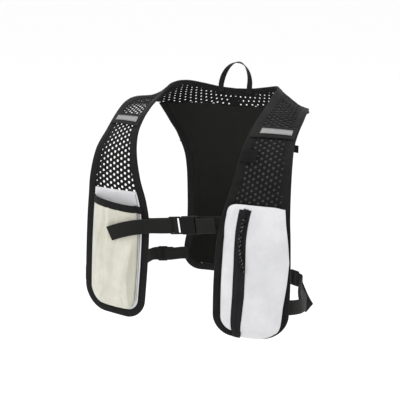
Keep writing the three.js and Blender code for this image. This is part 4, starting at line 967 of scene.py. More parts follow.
def hem_binding(word, side):
    """The binding of a front panel's hem, round both of its corners."""
    turn_steps = np.linspace(0, math.pi / 2, 22)

    def corner(radius, place, turns, d):
        up = radius - (radius - d) * np.sin(turns)
        t = place_at(up)
        return strap_point(side, t, place(t, radius - (radius - d) * np.cos(turns)))

    neck_end = from_neck(0.0, HEM_RADIUS_NECK)
    arm_end = from_arm(0.0, HEM_RADIUS_ARM)
    flat = np.linspace(0, 1, 26)[1:-1]
    count = 2 * len(turn_steps) + len(flat)

    def point(k, d):
        row = np.rint(k * (count - 1)).astype(int)
        result = np.zeros(k.shape + (3,))
        first = row < len(turn_steps)
        last = row >= count - len(turn_steps)
        middle = ~first & ~last
        result[first] = corner(HEM_RADIUS_NECK, from_neck, turn_steps[row[first]], d[first])
        back = row[last] - (count - len(turn_steps))
        result[last] = corner(HEM_RADIUS_ARM, from_arm, turn_steps[::-1][back], d[last])
        across = neck_end + (arm_end - neck_end) * flat[row[middle] - len(turn_steps)]
        result[middle] = strap_point(side, place_at(d[middle]), across)
        return result

    binding_piece(f"binding_hem_{word}", point, count, strap_normal(side, 0.0, 0.5))


EDGE_GAP = (GAP / 2) * ((1 - SEAM) / (FULL_LENGTH - STRAP_LENGTH))
NECK_START = place_at(HEM_RADIUS_NECK + GAP / 2)
ARM_START = place_at(HEM_RADIUS_ARM + GAP / 2)
STRAP_END = place_at(STRAP_LENGTH - GAP / 2)
for word, side in SIDES:
    edge_binding(f"binding_neck_{word}", side, NECK_START, STRAP_END, from_neck, 160)
    edge_binding(f"binding_arm_{word}", side, ARM_START, STRAP_END, from_arm, 160)
    edge_binding(f"binding_shoulder_{word}", side, CORNER, SEAM + EDGE_GAP, from_arm, 50)
    hem_binding(word, side)


def neckline_point(k, d):
    signed = (SEAM - 1 + EDGE_GAP) + 2 * (1 - SEAM - EDGE_GAP) * k
    t = 1 - np.abs(signed)
    return mirrored(strap_point(1, t, from_neck(t, d)), signed < 0)


binding_piece("binding_neckline", neckline_point, 180, BACKWARD)


# Net cloth: cells on a slanted lattice, each a six-sided ring of strands round an open hole.
CELL_SIDE = (NET_COLUMN**2 + NET_PITCH**2 / 4) / (2 * NET_COLUMN)
CELL_SHOULDER = (NET_COLUMN**2 - NET_PITCH**2 / 4) / (2 * NET_COLUMN)
HEXAGON = np.array([
    (CELL_SIDE, 0.0), (CELL_SHOULDER, NET_PITCH / 2), (-CELL_SHOULDER, NET_PITCH / 2),
    (-CELL_SIDE, 0.0), (-CELL_SHOULDER, -NET_PITCH / 2), (CELL_SHOULDER, -NET_PITCH / 2),
])
RING_STEPS = 3
HOLE_ROUNDNESS = 0.8
# Rings of a strand from the rim's top over it to the hole and back underneath: share of the way to the
# hole, and height.
STRAND_RINGS = (
    (0.0, 1.0), (0.55, 0.92), (0.88, 0.55), (1.0, 0.0), (0.88, -0.55), (0.55, -0.92), (0.0, -1.0),
)


def ring_points():
    """The rim of a cell and of its hole, point for point."""
    rim = []
    for corner, after in zip(HEXAGON, np.roll(HEXAGON, -1, axis=0)):
        rim += [mix(corner, after, k / RING_STEPS) for k in range(RING_STEPS)]
    rim = np.array(rim)
    half_sizes = np.array([NET_HOLE_HALF_WIDTH, NET_HOLE_HALF_HEIGHT])
    angles = np.arctan2(rim[:, 1] / half_sizes[1], rim[:, 0] / half_sizes[0])
    round_rim = np.stack([np.cos(angles), np.sin(angles)], 1)
    return rim, half_sizes * np.sign(round_rim) * np.abs(round_rim) ** HOLE_ROUNDNESS


def net_piece(name, centres, hole_share, surface, node):
    """centres are cell centres (across, along) in mm, surface(across, along, lift) gives points, and
    hole_share is how far each hole is open."""
    rim, hole = ring_points()
    # Points by cell, by ring of the strand and by place round the ring.
    to_hole = hole[None] * hole_share[:, None, None] - rim[None]
    flat = np.stack([centres[:, None] + rim[None] + to_hole * share for share, height in STRAND_RINGS], 1)
    heights = np.array([height for share, height in STRAND_RINGS]) * MESH_CLOTH / 2
    lift = np.broadcast_to(heights[None, :, None], flat.shape[:3])
    index = np.arange(lift.size).reshape(lift.shape)
    after = np.roll(index, -1, axis=2)
    faces = np.stack([index[:, :-1], after[:, :-1], after[:, 1:], index[:, 1:]], -1).reshape(-1, 4)
    kept, became = welded(np.concatenate([flat.reshape(-1, 2), lift.reshape(-1, 1)], 1), 100)
    flat = flat.reshape(-1, 2)[kept]
    lift = lift.reshape(-1)[kept]
    # Close the outer rim of the net between its top and its underside.
    top = became[index[:, 0]]
    bottom = became[index[:, -1]]
    edges = np.stack([top, np.roll(top, -1, axis=1)], -1).reshape(-1, 2)
    below = np.stack([bottom, np.roll(bottom, -1, axis=1)], -1).reshape(-1, 2)
    where, uses = np.unique(np.sort(edges, axis=1), axis=0, return_index=True, return_counts=True)[1:]
    outer = where[uses == 1]
    faces = np.vstack([became[faces], np.concatenate([edges[outer, ::-1], below[outer]], 1)])
    across, along = flat.T
    cloth = edgeless_cloth(across, along)
    piece = mesh_object(name, surface(across, along, lift), faces, cloth, BLACK_NET)
    finish_piece(piece, "mesh_cloth", node)


def lattice(along_from, along_to, across_half):
    """Cell centres between two lengths, across from the middle line both ways."""
    reach = math.ceil(across_half / NET_COLUMN)
    first_row = math.floor((along_from - FULL_LENGTH) / NET_PITCH) - 1
    last_row = math.ceil((along_to - FULL_LENGTH) / NET_PITCH) + 1
    column, row = np.meshgrid(np.arange(-reach, reach + 1), np.arange(first_row, last_row + 1))
    along = FULL_LENGTH + row * NET_PITCH + (column % 2) * NET_PITCH / 2
    centres = np.stack([column * NET_COLUMN, along], -1).reshape(-1, 2)
    return centres[(centres[:, 1] >= along_from) & (centres[:, 1] <= along_to)]


def folded_length(along):
    """Lengths past the middle of the back, counted down the other side again."""
    return np.where(along > FULL_LENGTH, 2 * FULL_LENGTH - along, along)


def net_tuck(along):
    return NET_TUCK * (1 - smooth(along, PANEL_HEIGHT + 1, PANEL_HEIGHT + 8))


def net_surface(side):
    def surface(across, along, lift):
        t = place_at(folded_length(along))
        points = strap_point(side, t, 0.5 + across / width_at(t), lift - net_tuck(along))
        return mirrored(points, along > FULL_LENGTH)
    return surface


def strap_net(word, side):
    """A strap's net: its holes are more open towards the armhole, and the right one's above its tape."""
    cells = lattice(PANEL_HEIGHT - 3, STRAP_LENGTH + 1, 40)
    cells = cells[np.abs(cells[:, 0]) < width_at(place_at(cells[:, 1])) / 2 - NET_INSET]
    to_arm = width_at(place_at(cells[:, 1])) / 2 - BINDING_WIDTH - cells[:, 0]
    hole_share = mix(STRAP_HOLE_SHARE[word], 1.0, smooth(to_arm, 0, 14))
    if side < 0:
        hole_share *= mix(0.96, 1.25, smooth(cells[:, 1], STRIP_LEVEL, STRIP_LEVEL + 20))
    net_piece(f"strap_net_{word}", cells, hole_share, net_surface(side), f"strap_mesh_{word}")


def strap_lining():
    """The cloth behind the left strap's net, which closes its holes."""
    ups = np.linspace(PANEL_HEIGHT - 2, STRAP_LENGTH + 1, 160)
    t = place_at(ups)[:, None]
    inset = BINDING_WIDTH - 2
    across = mix(from_neck(t, inset), from_arm(t, inset), np.linspace(0, 1, 30)[None])
    grid = strap_point(1, t, across, -net_tuck(ups)[:, None])
    high = -MESH_CLOTH / 2
    low = high - STRAP_LINING_THICK
    outward = strap_normal(1, place_at(230), 0.5)
    sheet_piece("strap_lining_left", grid, low, high, outward, STRAP_LINING, "mesh_cloth")


def yoke_net():
    """The yoke's net: finer holes, and finest by the shoulder seams."""
    first = STRAP_LENGTH + 1.001
    cells = lattice(first, 2 * FULL_LENGTH - first, 45)
    up = folded_length(cells[:, 1])
    half = width_at(place_at(up)) / 2
    low_inset = np.where(up < length_at(CORNER), NET_INSET, -2.0)
    inside = (cells[:, 0] > NET_INSET - half) & (cells[:, 0] < half - low_inset)
    hole_share = YOKE_HOLE_SHARE * mix(0.72, 1.0, smooth(up[inside], STRAP_LENGTH, FULL_LENGTH - 20))
    net_piece("yoke_net", cells[inside], hole_share, net_surface(1), "back_yoke")


for word, side in SIDES:
    strap_net(word, side)
strap_lining()
yoke_net()


def front_panel(word, side, material, slot):
    """The flat cloth under a front pocket, with the hem's round corners."""
    rows, columns = 70, 60
    ups = BINDING_INSET + (PANEL_HEIGHT + 3 - BINDING_INSET) * np.linspace(0, 1, rows) ** 1.5
    t = place_at(ups)[:, None]
    neck_cut, arm_cut = (
        corner_cut(ups - BINDING_INSET, radius - BINDING_INSET)[:, None]
        for radius in (HEM_RADIUS_NECK, HEM_RADIUS_ARM)
    )
    first = from_neck(t, BINDING_INSET + neck_cut)
    last = from_arm(t, BINDING_INSET + arm_cut)
    grid = strap_point(side, t, mix(first, last, np.linspace(-0.02, 1.02, columns)[None]))
    half = CLOTH_HALF * rim_shares(rows, columns, 0.4, 0.4)
    outward = strap_normal(side, place_at(80), 0.5)
    node = f"front_panel_{word}"
    sheet_piece(node + "_cloth", grid, -half, half, outward, material, slot, node)


front_panel("left", 1, BLACK_CLOTH, "black_cloth")
front_panel("right", -1, WHITE_CLOTH, "white_cloth")


# The tape across each strap and the reflective tape on it.
TAPE_SEWN_IN = 1.2


def cross_bar(name, side, height, insets, low, high, material, slot, node, thread):
    """A tape across a strap. insets are how far its ends lie from the neck edge and the armhole edge."""
    neck_inset, arm_inset = insets
    rows, columns = 22, 70
    t = place_at(np.linspace(STRIP_LEVEL - height / 2, STRIP_LEVEL + height / 2, rows))[:, None]
    across = mix(from_neck(t, neck_inset), from_arm(t, arm_inset), np.linspace(0, 1, columns)[None])
    faces = rounded(rows, columns, low, high)
    outward = strap_normal(side, t[rows // 2, 0], 0.5)
    sheet_piece(name, strap_point(side, t, across), *faces, outward, material, slot, node)
    for edge, row in (("low", TAPE_SEWN_IN), ("high", height - TAPE_SEWN_IN)):
        t_line = place_at(STRIP_LEVEL - height / 2 + row)
        across = np.linspace(from_neck(t_line, neck_inset + 0.8), from_arm(t_line, arm_inset + 0.8), 60)
        normals = strap_normal(side, t_line, across)
        line = strap_point(side, t_line, across, high)
        stitches(f"{name}_stitches_{edge}", line, normals, TAPE_STITCH, thread, slot)


# How much further in the reflective tape ends than the binding, in mm.
REFLECTIVE_INSETS = {"left": (6.0, 0.0), "right": (0.0, 4.5)}
for word, side in SIDES:
    low = BINDING_THICK / 2 + GAP
    high = low + CROSS_WEBBING_THICK
    insets = [BINDING_WIDTH * 0.3] * 2
    node = f"cross_webbing_{word}"
    cross_bar(
        node + "_woven", side, CROSS_WEBBING_HEIGHT, insets, low, high, WEBBING, "webbing",
        node, DARK_THREAD,
    )
    low = high + GAP
    high = low + TAPE_THICK
    insets = [BINDING_WIDTH * 0.72 + more for more in REFLECTIVE_INSETS[word]]
    node = f"reflective_tape_{word}"
    cross_bar(
        node + "_sewn", side, REFLECTIVE_HEIGHT, insets, low, high, REFLECTIVE, "reflective_tape",
        node, GREY_THREAD,
    )


def fold_lift(folds, across, up):
    """How far the cloth of a pocket stands off its plain shape, in mm."""
    lift = np.zeros(np.broadcast(across, up).shape)
    for fold_across, fold_up, lean, wide, tall, deep in zip(*folds.values()):
        reach = (up - fold_up) / tall
        line = (across - fold_across - lean * reach) / wide
        lift = lift + deep * np.exp(-(line**2)) * np.exp(-(reach**2) * 1.6)
    return lift


def wall_folds(folds, row, column):
    """Folds that die away towards a pocket's sewn rim."""
    quiet = np.minimum(1, row[1] * 2.5) * np.minimum(1, column[1] * 1.8)
    return fold_lift(folds, column[0], row[0]) * quiet


def pocket_wall(name, pocket, rows, columns, folds, material, slot, node):
    """A pocket's cloth, half as thick at its rim."""
    row = tuple(value[:, None] for value in rows)
    column = tuple(value[None] for value in columns)
    grid = pocket_point(pocket, row, column, wall_folds(folds, row, column))
    half = np.full(grid.shape[:2], CLOTH_HALF)
    for rim in (np.s_[0], np.s_[-1], np.s_[:, 0], np.s_[:, -1]):
        half[rim] = CLOTH_HALF / 2
    outward = strap_normal(pocket["side"], place_at(pocket["height"] / 2), 0.5)
    return sheet_piece(name, grid, -half, half, outward, material, slot, node)


pocket_wall(
    "zip_pocket_cloth", ZIP_POCKET, table_line(ZIP_POCKET_UP, 150), table_line(ZIP_ACROSS, 150), ZIP_FOLDS,
    WHITE_CLOTH, "white_cloth", "zip_pocket_left",
)


def cut_rows(rows, up_to, count, start=0.0):
    """A run through a pocket's table from its foot to a given height."""
    at, rise = table_line(rows, 600, start)
    end = np.argmax(at >= up_to) if np.any(at >= up_to) else len(at) - 1
    pick = np.linspace(0, end, count)
    steps = np.arange(len(at))
    return np.interp(pick, steps, at), np.interp(pick, steps, rise)


FLASK_MOUTH_LOW = FLASK_POCKET_HEIGHT - FLASK_BINDING_HEIGHT
FLASK_ROWS = cut_rows(FLASK_POCKET_UP, share_up(FLASK_POCKET, FLASK_MOUTH_LOW + 1), 150)
FLASK_COLUMNS = table_line(FLASK_ACROSS, 140)
# The edge of the painted shade over the slack fold beside the narrow zip: share up the pocket and share
# across.
SLACK_SHADE_EDGE = table("up across", (0.05, 0.085), (0.16, 0.135), (0.30, 0.155), (0.48, 0.115), (0.70, 0.060))
# How far the mouth's tape reaches past the pocket's neck side, as a share of its width.
MOUTH_REACH = -0.125
MOUTH_PROFILE = table(
    "up share",
    (0.0, 0.25), (0.3, 0.7), (1.0, 0.85), (1.6, 0.62), (2.2, 0.85), (4.0, 0.95), (6.5, 1.0), (8.6, 0.95),
    (9.6, 0.7), (10.0, 0.25),
)
MOUTH_SEWN_LINE = 1.6
MOUTH_MIDDLE = FLASK_BINDING_THICK / 2 - CLOTH_HALF


def mouth_tape(name, grid, profile, side_share, outward, node):
    """The folded tape over the edge of a pocket's cloth."""
    half = FLASK_BINDING_THICK / 2 * profile["share"][:, None]
    half = half * rim_shares(*grid.shape[:2], side_share, 1.0)
    sheet_piece(name, grid, MOUTH_MIDDLE - half, MOUTH_MIDDLE + half, outward, BINDING, "binding", node)


def flask_cloth():
    """The flask pocket's wall, with painted shade in its creases and over the slack fold beside the narrow
    zip.
    """
    piece = pocket_wall(
        "flask_pocket_cloth", FLASK_POCKET, FLASK_ROWS, FLASK_COLUMNS, FLASK_FOLDS,
        CREAM_CLOTH, "cream_cloth", "flask_pocket_right",
    )
    up = FLASK_ROWS[0][:, None]
    across = FLASK_COLUMNS[0][None]
    from_fold = np.interp(up, SLACK_SHADE_EDGE["up"], SLACK_SHADE_EDGE["across"]) - across
    # Painted shade over the slack fold beside the narrow zip.
    slack_fold_shade = smooth(from_fold, -0.008, 0.02) * smooth(up, 0.02, 0.06) * (1 - smooth(up, 0.55, 0.74))
    # Painted shade: along the creases and over the slack fold the cloth is painted darker by this amount,
    # kept as an attribute.
    depth = np.clip(fold_lift(FLASK_CREASE_SHADE, across, up) + slack_fold_shade, 0, 1).ravel()
    layer = piece.data.attributes.new("crease_shade", "FLOAT", "POINT")
    layer.data.foreach_set("value", np.concatenate([depth, depth]).astype(np.float32))


flask_cloth()


def flask_mouth():
    """The bound mouth of the flask pocket: a folded tape over the edge of the cloth."""
    ats = share_up(FLASK_POCKET, FLASK_MOUTH_LOW + MOUTH_PROFILE["up"])[:, None]
    ats_across, rises_across = table_line(FLASK_ACROSS, 120)
    beside = np.linspace(MOUTH_REACH, 0, 10, endpoint=False)
    columns = (
        np.concatenate([beside, ats_across]),
        np.concatenate([np.full(beside.shape, 0.1), np.maximum(rises_across, 0.1 * (ats_across < 0.5))]),
    )
    grid = pocket_point(FLASK_POCKET, (ats, rises(FLASK_POCKET_UP, ats)), tuple(v[None] for v in columns))
    outward = strap_normal(-1, place_at(FLASK_POCKET_HEIGHT), 0.5)
    mouth_tape("flask_pocket_mouth_tape", grid, MOUTH_PROFILE, 0.5, outward, "flask_pocket_binding")
    at = share_up(FLASK_POCKET, FLASK_MOUTH_LOW + MOUTH_SEWN_LINE)
    rise = rises(FLASK_POCKET_UP, at)
    lift = MOUTH_MIDDLE + FLASK_BINDING_THICK / 2 * 0.62
    line = pocket_point(FLASK_POCKET, (at, rise), columns, lift)
    above = pocket_point(FLASK_POCKET, (at + 0.02, rise), columns, lift)
    normals = unit(np.cross(np.gradient(line, axis=0), above - line))
    normals *= np.sign(np.sum(normals[60] * outward))
    stitches("flask_pocket_mouth_stitches", line, normals, MOUTH_STITCH, DARK_THREAD, "binding")


flask_mouth()


# The zip band's two edges up the pocket, as shares across it.
ZIP_BAND = table(
    "up left right",
    (-0.05, 0.185, 0.335), (0.10, 0.200, 0.385), (0.30, 0.225, 0.425), (0.55, 0.232, 0.435),
    (0.75, 0.222, 0.425), (0.88, 0.200, 0.425), (1.00, 0.170, 0.425),
)
ZIP_BAND_START = 2.4 / (len(ZIP_POCKET_UP["at"]) - 1)


def zip_tape():
    """The zip band over the pocket: two woven tapes that meet in a covered seam."""
    rows, columns = 130, 25
    top = share_up(ZIP_POCKET, PANEL_HEIGHT - ZIP_TOP_MARGIN)
    row = tuple(value[:, None] for value in cut_rows(ZIP_POCKET_UP, top, rows, ZIP_BAND_START))
    left, right = (np.interp(row[0], ZIP_BAND["up"], ZIP_BAND[edge]) for edge in ("left", "right"))
    at = mix(left, right, np.linspace(0, 1, columns)[None])
    fine_at, fine_rise = table_line(ZIP_ACROSS, 400)
    column = (at, np.interp(at, fine_at[40:], fine_rise[40:]))
    grid = pocket_point(ZIP_POCKET, row, column, wall_folds(ZIP_FOLDS, row, column), 0.25)
    low = CLOTH_HALF + GAP * 0.4
    share = np.linspace(-1, 1, columns)
    ridge = 0.35 * np.exp(-((np.abs(share) - 0.16) / 0.1) ** 2) - 0.55 * np.exp(-((share / 0.05) ** 2))
    edge = np.where(np.abs(share) > 0.99, -0.3, 0)
    high = low + ZIP_TAPE_THICK + (ridge + edge)[None] * np.ones((rows, 1))
    outward = strap_normal(1, place_at(90), 0.4)
    sheet_piece("zip_tape_woven", grid, low, high, outward, ZIP_TAPE, "zip_tape", "zip_tape_left")
    for word, column_index in (("neck", 2), ("arm", columns - 3)):
        normals = grid_normals(grid)[4:-4, column_index]
        normals = normals * np.sign(np.sum(normals[60] * outward))
        line = grid[4:-4, column_index] + normals * (low + ZIP_TAPE_THICK)
        stitches(f"zip_tape_stitches_{word}", line, normals, ZIP_STITCH, DARK_THREAD, "zip_tape")


zip_tape()


# Ribbons and webbing.
RIBBON_COLUMNS = 11


def ribbon_piece(node, stations, width, thick, count):
    """A node's webbing, along stations of (point, across) and smooth between them."""
    points = spline([at for at, across in stations])
    turns = spline([across for at, across in stations])
    dense = np.linspace(0, 1, 800)
    lengths = lengths_along(points(dense))
    even = np.interp(np.linspace(0, lengths[-1], count), lengths, dense)
    offsets = np.linspace(-1, 1, RIBBON_COLUMNS)
    offsets = np.sign(offsets) * (width / 2) * (1 - (1 - np.abs(offsets)) ** 1.6)
    grid = points(even)[:, None] + unit(turns(even))[:, None] * offsets[None, :, None]
    half = thick / 2 * rim_shares(count, RIBBON_COLUMNS, 0.35, 0.6, 0.9)
    outward = grid_normals(grid)[count // 2, RIBBON_COLUMNS // 2]
    sheet_piece(node + "_woven", grid, -half, half, outward, WEBBING, "webbing", node)


SLOT_HEIGHT = WEBBING_WIDTH + 2 * GAP + 0.4
FRAME_HEIGHT = SLOT_HEIGHT + 2 * LOCK_RIM
TURN_RADIUS = LOCK_THICK / 2 + GAP + WEBBING_THICK / 2


def half_turn(centre, away, outer, across):
    """Stations of webbing round a bar."""
    return [
        (centre - away * TURN_RADIUS * math.cos(turn) + outer * TURN_RADIUS * math.sin(turn), across)
        for turn in np.linspace(-math.pi / 2, math.pi / 2, 11)
    ]


def rounded_box(start, length, height, radius):
    """A closed outline with rounded corners, anticlockwise, from start along and centred across."""
    near = start + radius
    far = start + length - radius
    top = height / 2 - radius
    loop = []
    for quarter, (x, y) in enumerate(((far, top), (near, top), (near, -top), (far, -top))):
        for turn in np.linspace(0, math.pi / 2, 6) + quarter * math.pi / 2:
            loop.append((x + radius * math.cos(turn), y + radius * math.sin(turn)))
    return loop


def moulded(name, loops, thick, bevel, at, along, across, material, slot, node):
    """A moulded part: flat outlines, the first the outside and the rest holes, thick along their normal."""
    curve = bpy.data.curves.new(name, "CURVE")
    curve.dimensions = "2D"
    curve.fill_mode = "BOTH"
    curve.extrude = (thick / 2 - bevel) * MM
    curve.bevel_depth = bevel * MM
    curve.bevel_resolution = 3
    curve.offset = -bevel * MM
    for loop in loops:
        line = curve.splines.new("POLY")
        line.points.add(len(loop) - 1)
        for point, (x, y) in zip(line.points, loop):
            point.co = (x * MM, y * MM, 0, 1)
        line.use_cyclic_u = True
    outline = bpy.data.objects.new(name + "_outline", curve)
    SCENE.collection.objects.link(outline)
    graph = bpy.context.evaluated_depsgraph_get()
    mesh = bpy.data.meshes.new_from_object(outline.evaluated_get(graph))
    bpy.data.objects.remove(outline)
    flat = np.zeros(len(mesh.vertices) * 3)
    mesh.vertices.foreach_get("co", flat)
    flat = flat.reshape(-1, 3) / MM
    kept, became = welded(flat, 1000)
    faces = []
    for face in mesh.polygons:
        corners = list(dict.fromkeys(became[list(face.vertices)].tolist()))
        if len(corners) > 2:
            faces.append(corners)
    bpy.data.meshes.remove(mesh)
    x, y, z = flat[kept].T
    vertices = at + x[:, None] * along + y[:, None] * across + z[:, None] * np.cross(along, across)
    finish_piece(mesh_object(name, vertices, faces, edgeless_cloth(x, y), material, False), slot, node)


def frame_length(parts):
    return sum(part[0] for part in parts)


def slot_loops(parts):
    """The outline of a flat frame and of its slots. parts are (length, slot height), with 0 for a bar."""
    loops = [rounded_box(0, frame_length(parts), FRAME_HEIGHT, 1.6)]
    x = 0
    for length, slot_height in parts:
        if slot_height:
            loops.append(rounded_box(x, length, slot_height, 0.7))
        x += length
    return loops


def along_panel(side, level, webbing):
    """The panel's upward direction at a level, square to the webbing that is sewn there."""
    upward = unit(strap_point(side, place_at(level + 5), 0.5) - strap_point(side, place_at(level - 5), 0.5))
    return unit(upward - webbing * np.dot(upward, webbing))


def tail_rise(share, clearance):
    """How far the right chest webbing's loose end stands off the strap, over the flask pocket."""
    t = place_at(CHEST_LEVEL_RIGHT)
    first = from_neck(t, BINDING_INSET + FLASK_POCKET["neckMargin"])
    at = max(0, (share - first) / (from_arm(t, BINDING_INSET) - first))
    wide = max(rises(FLASK_ACROSS, np.clip(value, 0.005, 0.98)) for value in (at, at + 0.1))
    return POCKET_RIM + FLASK_POCKET_DEPTH * wide + CLOTH_HALF + FLASK_BINDING_THICK + clearance


SEWN_BEHIND = -(BINDING_THICK / 2 + 3 * GAP + WEBBING_THICK / 2)


def chest_edge(side, up, lift, inward):
    t = place_at(up)
    return strap_point(side, t, from_neck(t, inward), lift)


def sewn_end(side, level, along):
    """Stations of webbing that is sewn behind a front panel's neck binding."""
    panel_up = along_panel(side, level, along)
    return [(chest_edge(side, level, SEWN_BEHIND, inward), panel_up) for inward in (SEWN_UNDER, 0.5)]


def chest_strap():
    """The buckle's two halves, level between the front edges, and the webbing from each to its panel."""
    left = chest_edge(1, CHEST_LEVEL_LEFT, 0, 0)
    along = unit(left - chest_edge(-1, CHEST_LEVEL_RIGHT, 0, 0))
    across = unit(UPWARD - along * along[2])
    front = np.cross(along, across)
    male_parts = [
        (LOCK_BAR, 0), (LOCK_SLOT - BAR_CLOSE, SLOT_HEIGHT), (BUCKLE_MIDDLE_BAR + BAR_CLOSE, 0),
        (LOCK_SLOT - 0.8, SLOT_HEIGHT - 1.2), (LOCK_BAR - 0.6, 0),
    ]
    female_parts = [(BUCKLE_BODY_LENGTH, 0), (LOCK_SLOT, SLOT_HEIGHT), (LOCK_BAR, 0)]
    female_end = left - along * CHEST_WEBBING_LEFT
    female_start = female_end - along * frame_length(female_parts)
    male_start = female_start - along * (frame_length(male_parts) + GAP)
    moulded(
        "chest_buckle_prong_half", slot_loops(male_parts), LOCK_THICK, 0.6, male_start, along, across,
        BUCKLE_BAR, "buckle_plastic", "chest_buckle_male",
    )
    moulded(
        "chest_buckle_socket_half", slot_loops(female_parts), BUCKLE_THICK, 1.0, female_start, along,
        across, PLASTIC, "buckle_plastic", "chest_buckle_female",
    )

    bar = male_start + along * LOCK_BAR
    stations = [
        *sewn_end(-1, CHEST_LEVEL_RIGHT, along),
        (bar - along * FOLD_REACH - front * TURN_RADIUS, across),
        *half_turn(bar, -along, front, across),
        (bar - along * FOLD_REACH + front * (TURN_RADIUS + GAP), across),
    ]
    tail_lift = WEBBING_THICK / 2 + GAP + 0.7
    stations.append((chest_edge(-1, CHEST_LEVEL_RIGHT, BINDING_THICK / 2 + tail_lift + 1, 1), across))
    for share in np.linspace(0.16, CHEST_TAIL_REACH, 8):
        reach = share / CHEST_TAIL_REACH
        up = CHEST_LEVEL_RIGHT - CHEST_TAIL_DROP * reach**1.6
        point = strap_point(-1, place_at(up), share, tail_rise(share, tail_lift))
        stations.append((point, unit(across - along * 0.28 * reach)))
    ribbon_piece("chest_webbing_right", stations, WEBBING_WIDTH, WEBBING_THICK, 260)

    bar = female_end - along * LOCK_BAR
    inner = TURN_RADIUS - LOCK_THICK / 2
    stations = sewn_end(1, CHEST_LEVEL_LEFT, along)
    for turn in np.linspace(-math.pi / 2, math.pi / 2, 9):
        out = np.sign(math.sin(turn)) * (BUCKLE_THICK / 2) + inner * math.sin(turn)
        stations.append((bar - along * inner * math.cos(turn) + front * out, across))
    turn_out = BUCKLE_THICK / 2 + inner + 0.2
    stations.append((bar + along * (LOCK_BAR + LEFT_FOLD_REACH) + front * turn_out, across))
    ribbon_piece("chest_webbing_left", stations, WEBBING_WIDTH, WEBBING_THICK, 140)


chest_strap()

# The back panel.
BACK_STEPS = np.linspace(0, 1, 2001)
BACK_LINES = {
    name: spline(np.stack([BACK_SECTIONS["down"] * BACK_DROP, BACK_SECTIONS[name]], 1), False)(BACK_STEPS)
    for name in ("half", "edgeBack", "middleBack")
}
BACK_TOP = BACK_SECTIONS["down"][0] * BACK_DROP


def back_value(name, down):
    return np.interp(down, BACK_LINES[name][:, 0], BACK_LINES[name][:, 1])


def back_edge(down):
    return back_value("half", down) * BACK_HALF


def back_point(x, down, lift=0.0):
    """Points of the back panel: x from its middle, down from the origin, lift outward."""
    x, down, lift = np.broadcast_arrays(np.asarray(x, float), np.asarray(down, float), lift)
    middle = back_value("middleBack", down) * BACK_DEPTH
    edge = back_value("edgeBack", down) * BACK_DEPTH
    y = middle - (middle - edge) * (x / back_edge(down)) ** 2 + lift
    return np.stack([x, y, -down], -1)


def back_limit(down, inset):
    """How far the back panel reaches from its middle, less an inset."""
    return back_edge(down) - inset - corner_cut(BACK_DROP - down - inset, BACK_HEM_RADIUS - inset)


# The sewn channels: their share of the way to the side, their width as a share, and their depth in mm.
QUILT_LINE = 0.86
QUILT_WIDTH = 0.012
QUILT_DEPTH = 0.7


def back_panel():
    """The padded back panel, with a sewn channel near each side on its inner face."""
    rows, columns = 150, 110
    foot = BACK_DROP - BINDING_INSET
    downs = (foot - (foot - BACK_TOP + 1) * np.linspace(0, 1, rows) ** 1.15)[::-1]
    shares = np.linspace(-1, 1, columns)
    grid = back_point(back_limit(downs, BINDING_INSET - 1)[:, None] * shares[None], downs[:, None])
    quilt = QUILT_DEPTH * np.exp(-(((np.abs(shares[None]) - QUILT_LINE) / QUILT_WIDTH) ** 2))
    half = BACK_PAD / 2 * rim_shares(rows, columns, 0.3, 0.3, 0.8)
    piece = sheet_piece(
        "back_panel_padded", grid, quilt - half, half, BACKWARD, LINING, "black_cloth", "back_panel"
    )


back_panel()


def back_bindings():
    """Down each side of the back panel, round its corner and along its hem to the middle."""
    straight = np.linspace(BACK_TOP + 2 * GAP, BACK_DROP - BACK_HEM_RADIUS, 120)
    turns = np.linspace(0, math.pi / 2, 20)[1:]
    corner_x = back_edge(BACK_DROP) - BACK_HEM_RADIUS
    hem = np.linspace(corner_x, 0.03, 26)[1:]
    count = len(straight) + len(turns) + len(hem)
    for word, side in SIDES:
        def point(k, d):
            row = np.rint(k * (count - 1)).astype(int)
            x = np.zeros(row.shape)
            down = np.zeros(row.shape)
            first = row < len(straight)
            last = row >= len(straight) + len(turns)
            middle = ~first & ~last
            down[first] = straight[row[first]]
            x[first] = back_edge(down[first]) - d[first]
            turn = turns[row[middle] - len(straight)]
            radius = BACK_HEM_RADIUS - d[middle]
            down[middle] = BACK_DROP - BACK_HEM_RADIUS + radius * np.sin(turn)
            x[middle] = corner_x + radius * np.cos(turn)
            down[last] = BACK_DROP - d[last]
            x[last] = hem[row[last] - len(straight) - len(turns)]
            return back_point(side * x, down)
        binding_piece(f"binding_back_{word}", point, count, BACKWARD)


back_bindings()


BACK_MOUTH_PROFILE = table(
    "down share",
    (0.0, 0.2), (0.3, 0.65), (1.2, 0.95), (4.0, 1.0), (7.6, 0.9), (8.2, 0.6), (8.8, 0.85), (9.7, 0.7),
    (10.0, 0.3),
)
BACK_POCKET_MARGIN = BINDING_INSET + 1
BACK_POCKET_FOOT = BACK_DROP - BACK_POCKET_MARGIN
BACK_POCKET_RIM = BACK_PAD / 2 + 2 * GAP + CLOTH_HALF


def back_pocket_point(down, share, lift=0.0):
    from_hem = (BACK_POCKET_FOOT - down) / (BACK_POCKET_FOOT - BACK_POCKET_TOP)
    rise = BACK_POCKET_DEPTH * np.minimum(1, np.sqrt(np.maximum(0, from_hem) * 4)) * (1 - share**6)
    return back_point(back_limit(down, BACK_POCKET_MARGIN) * share, down, BACK_POCKET_RIM + rise + lift)


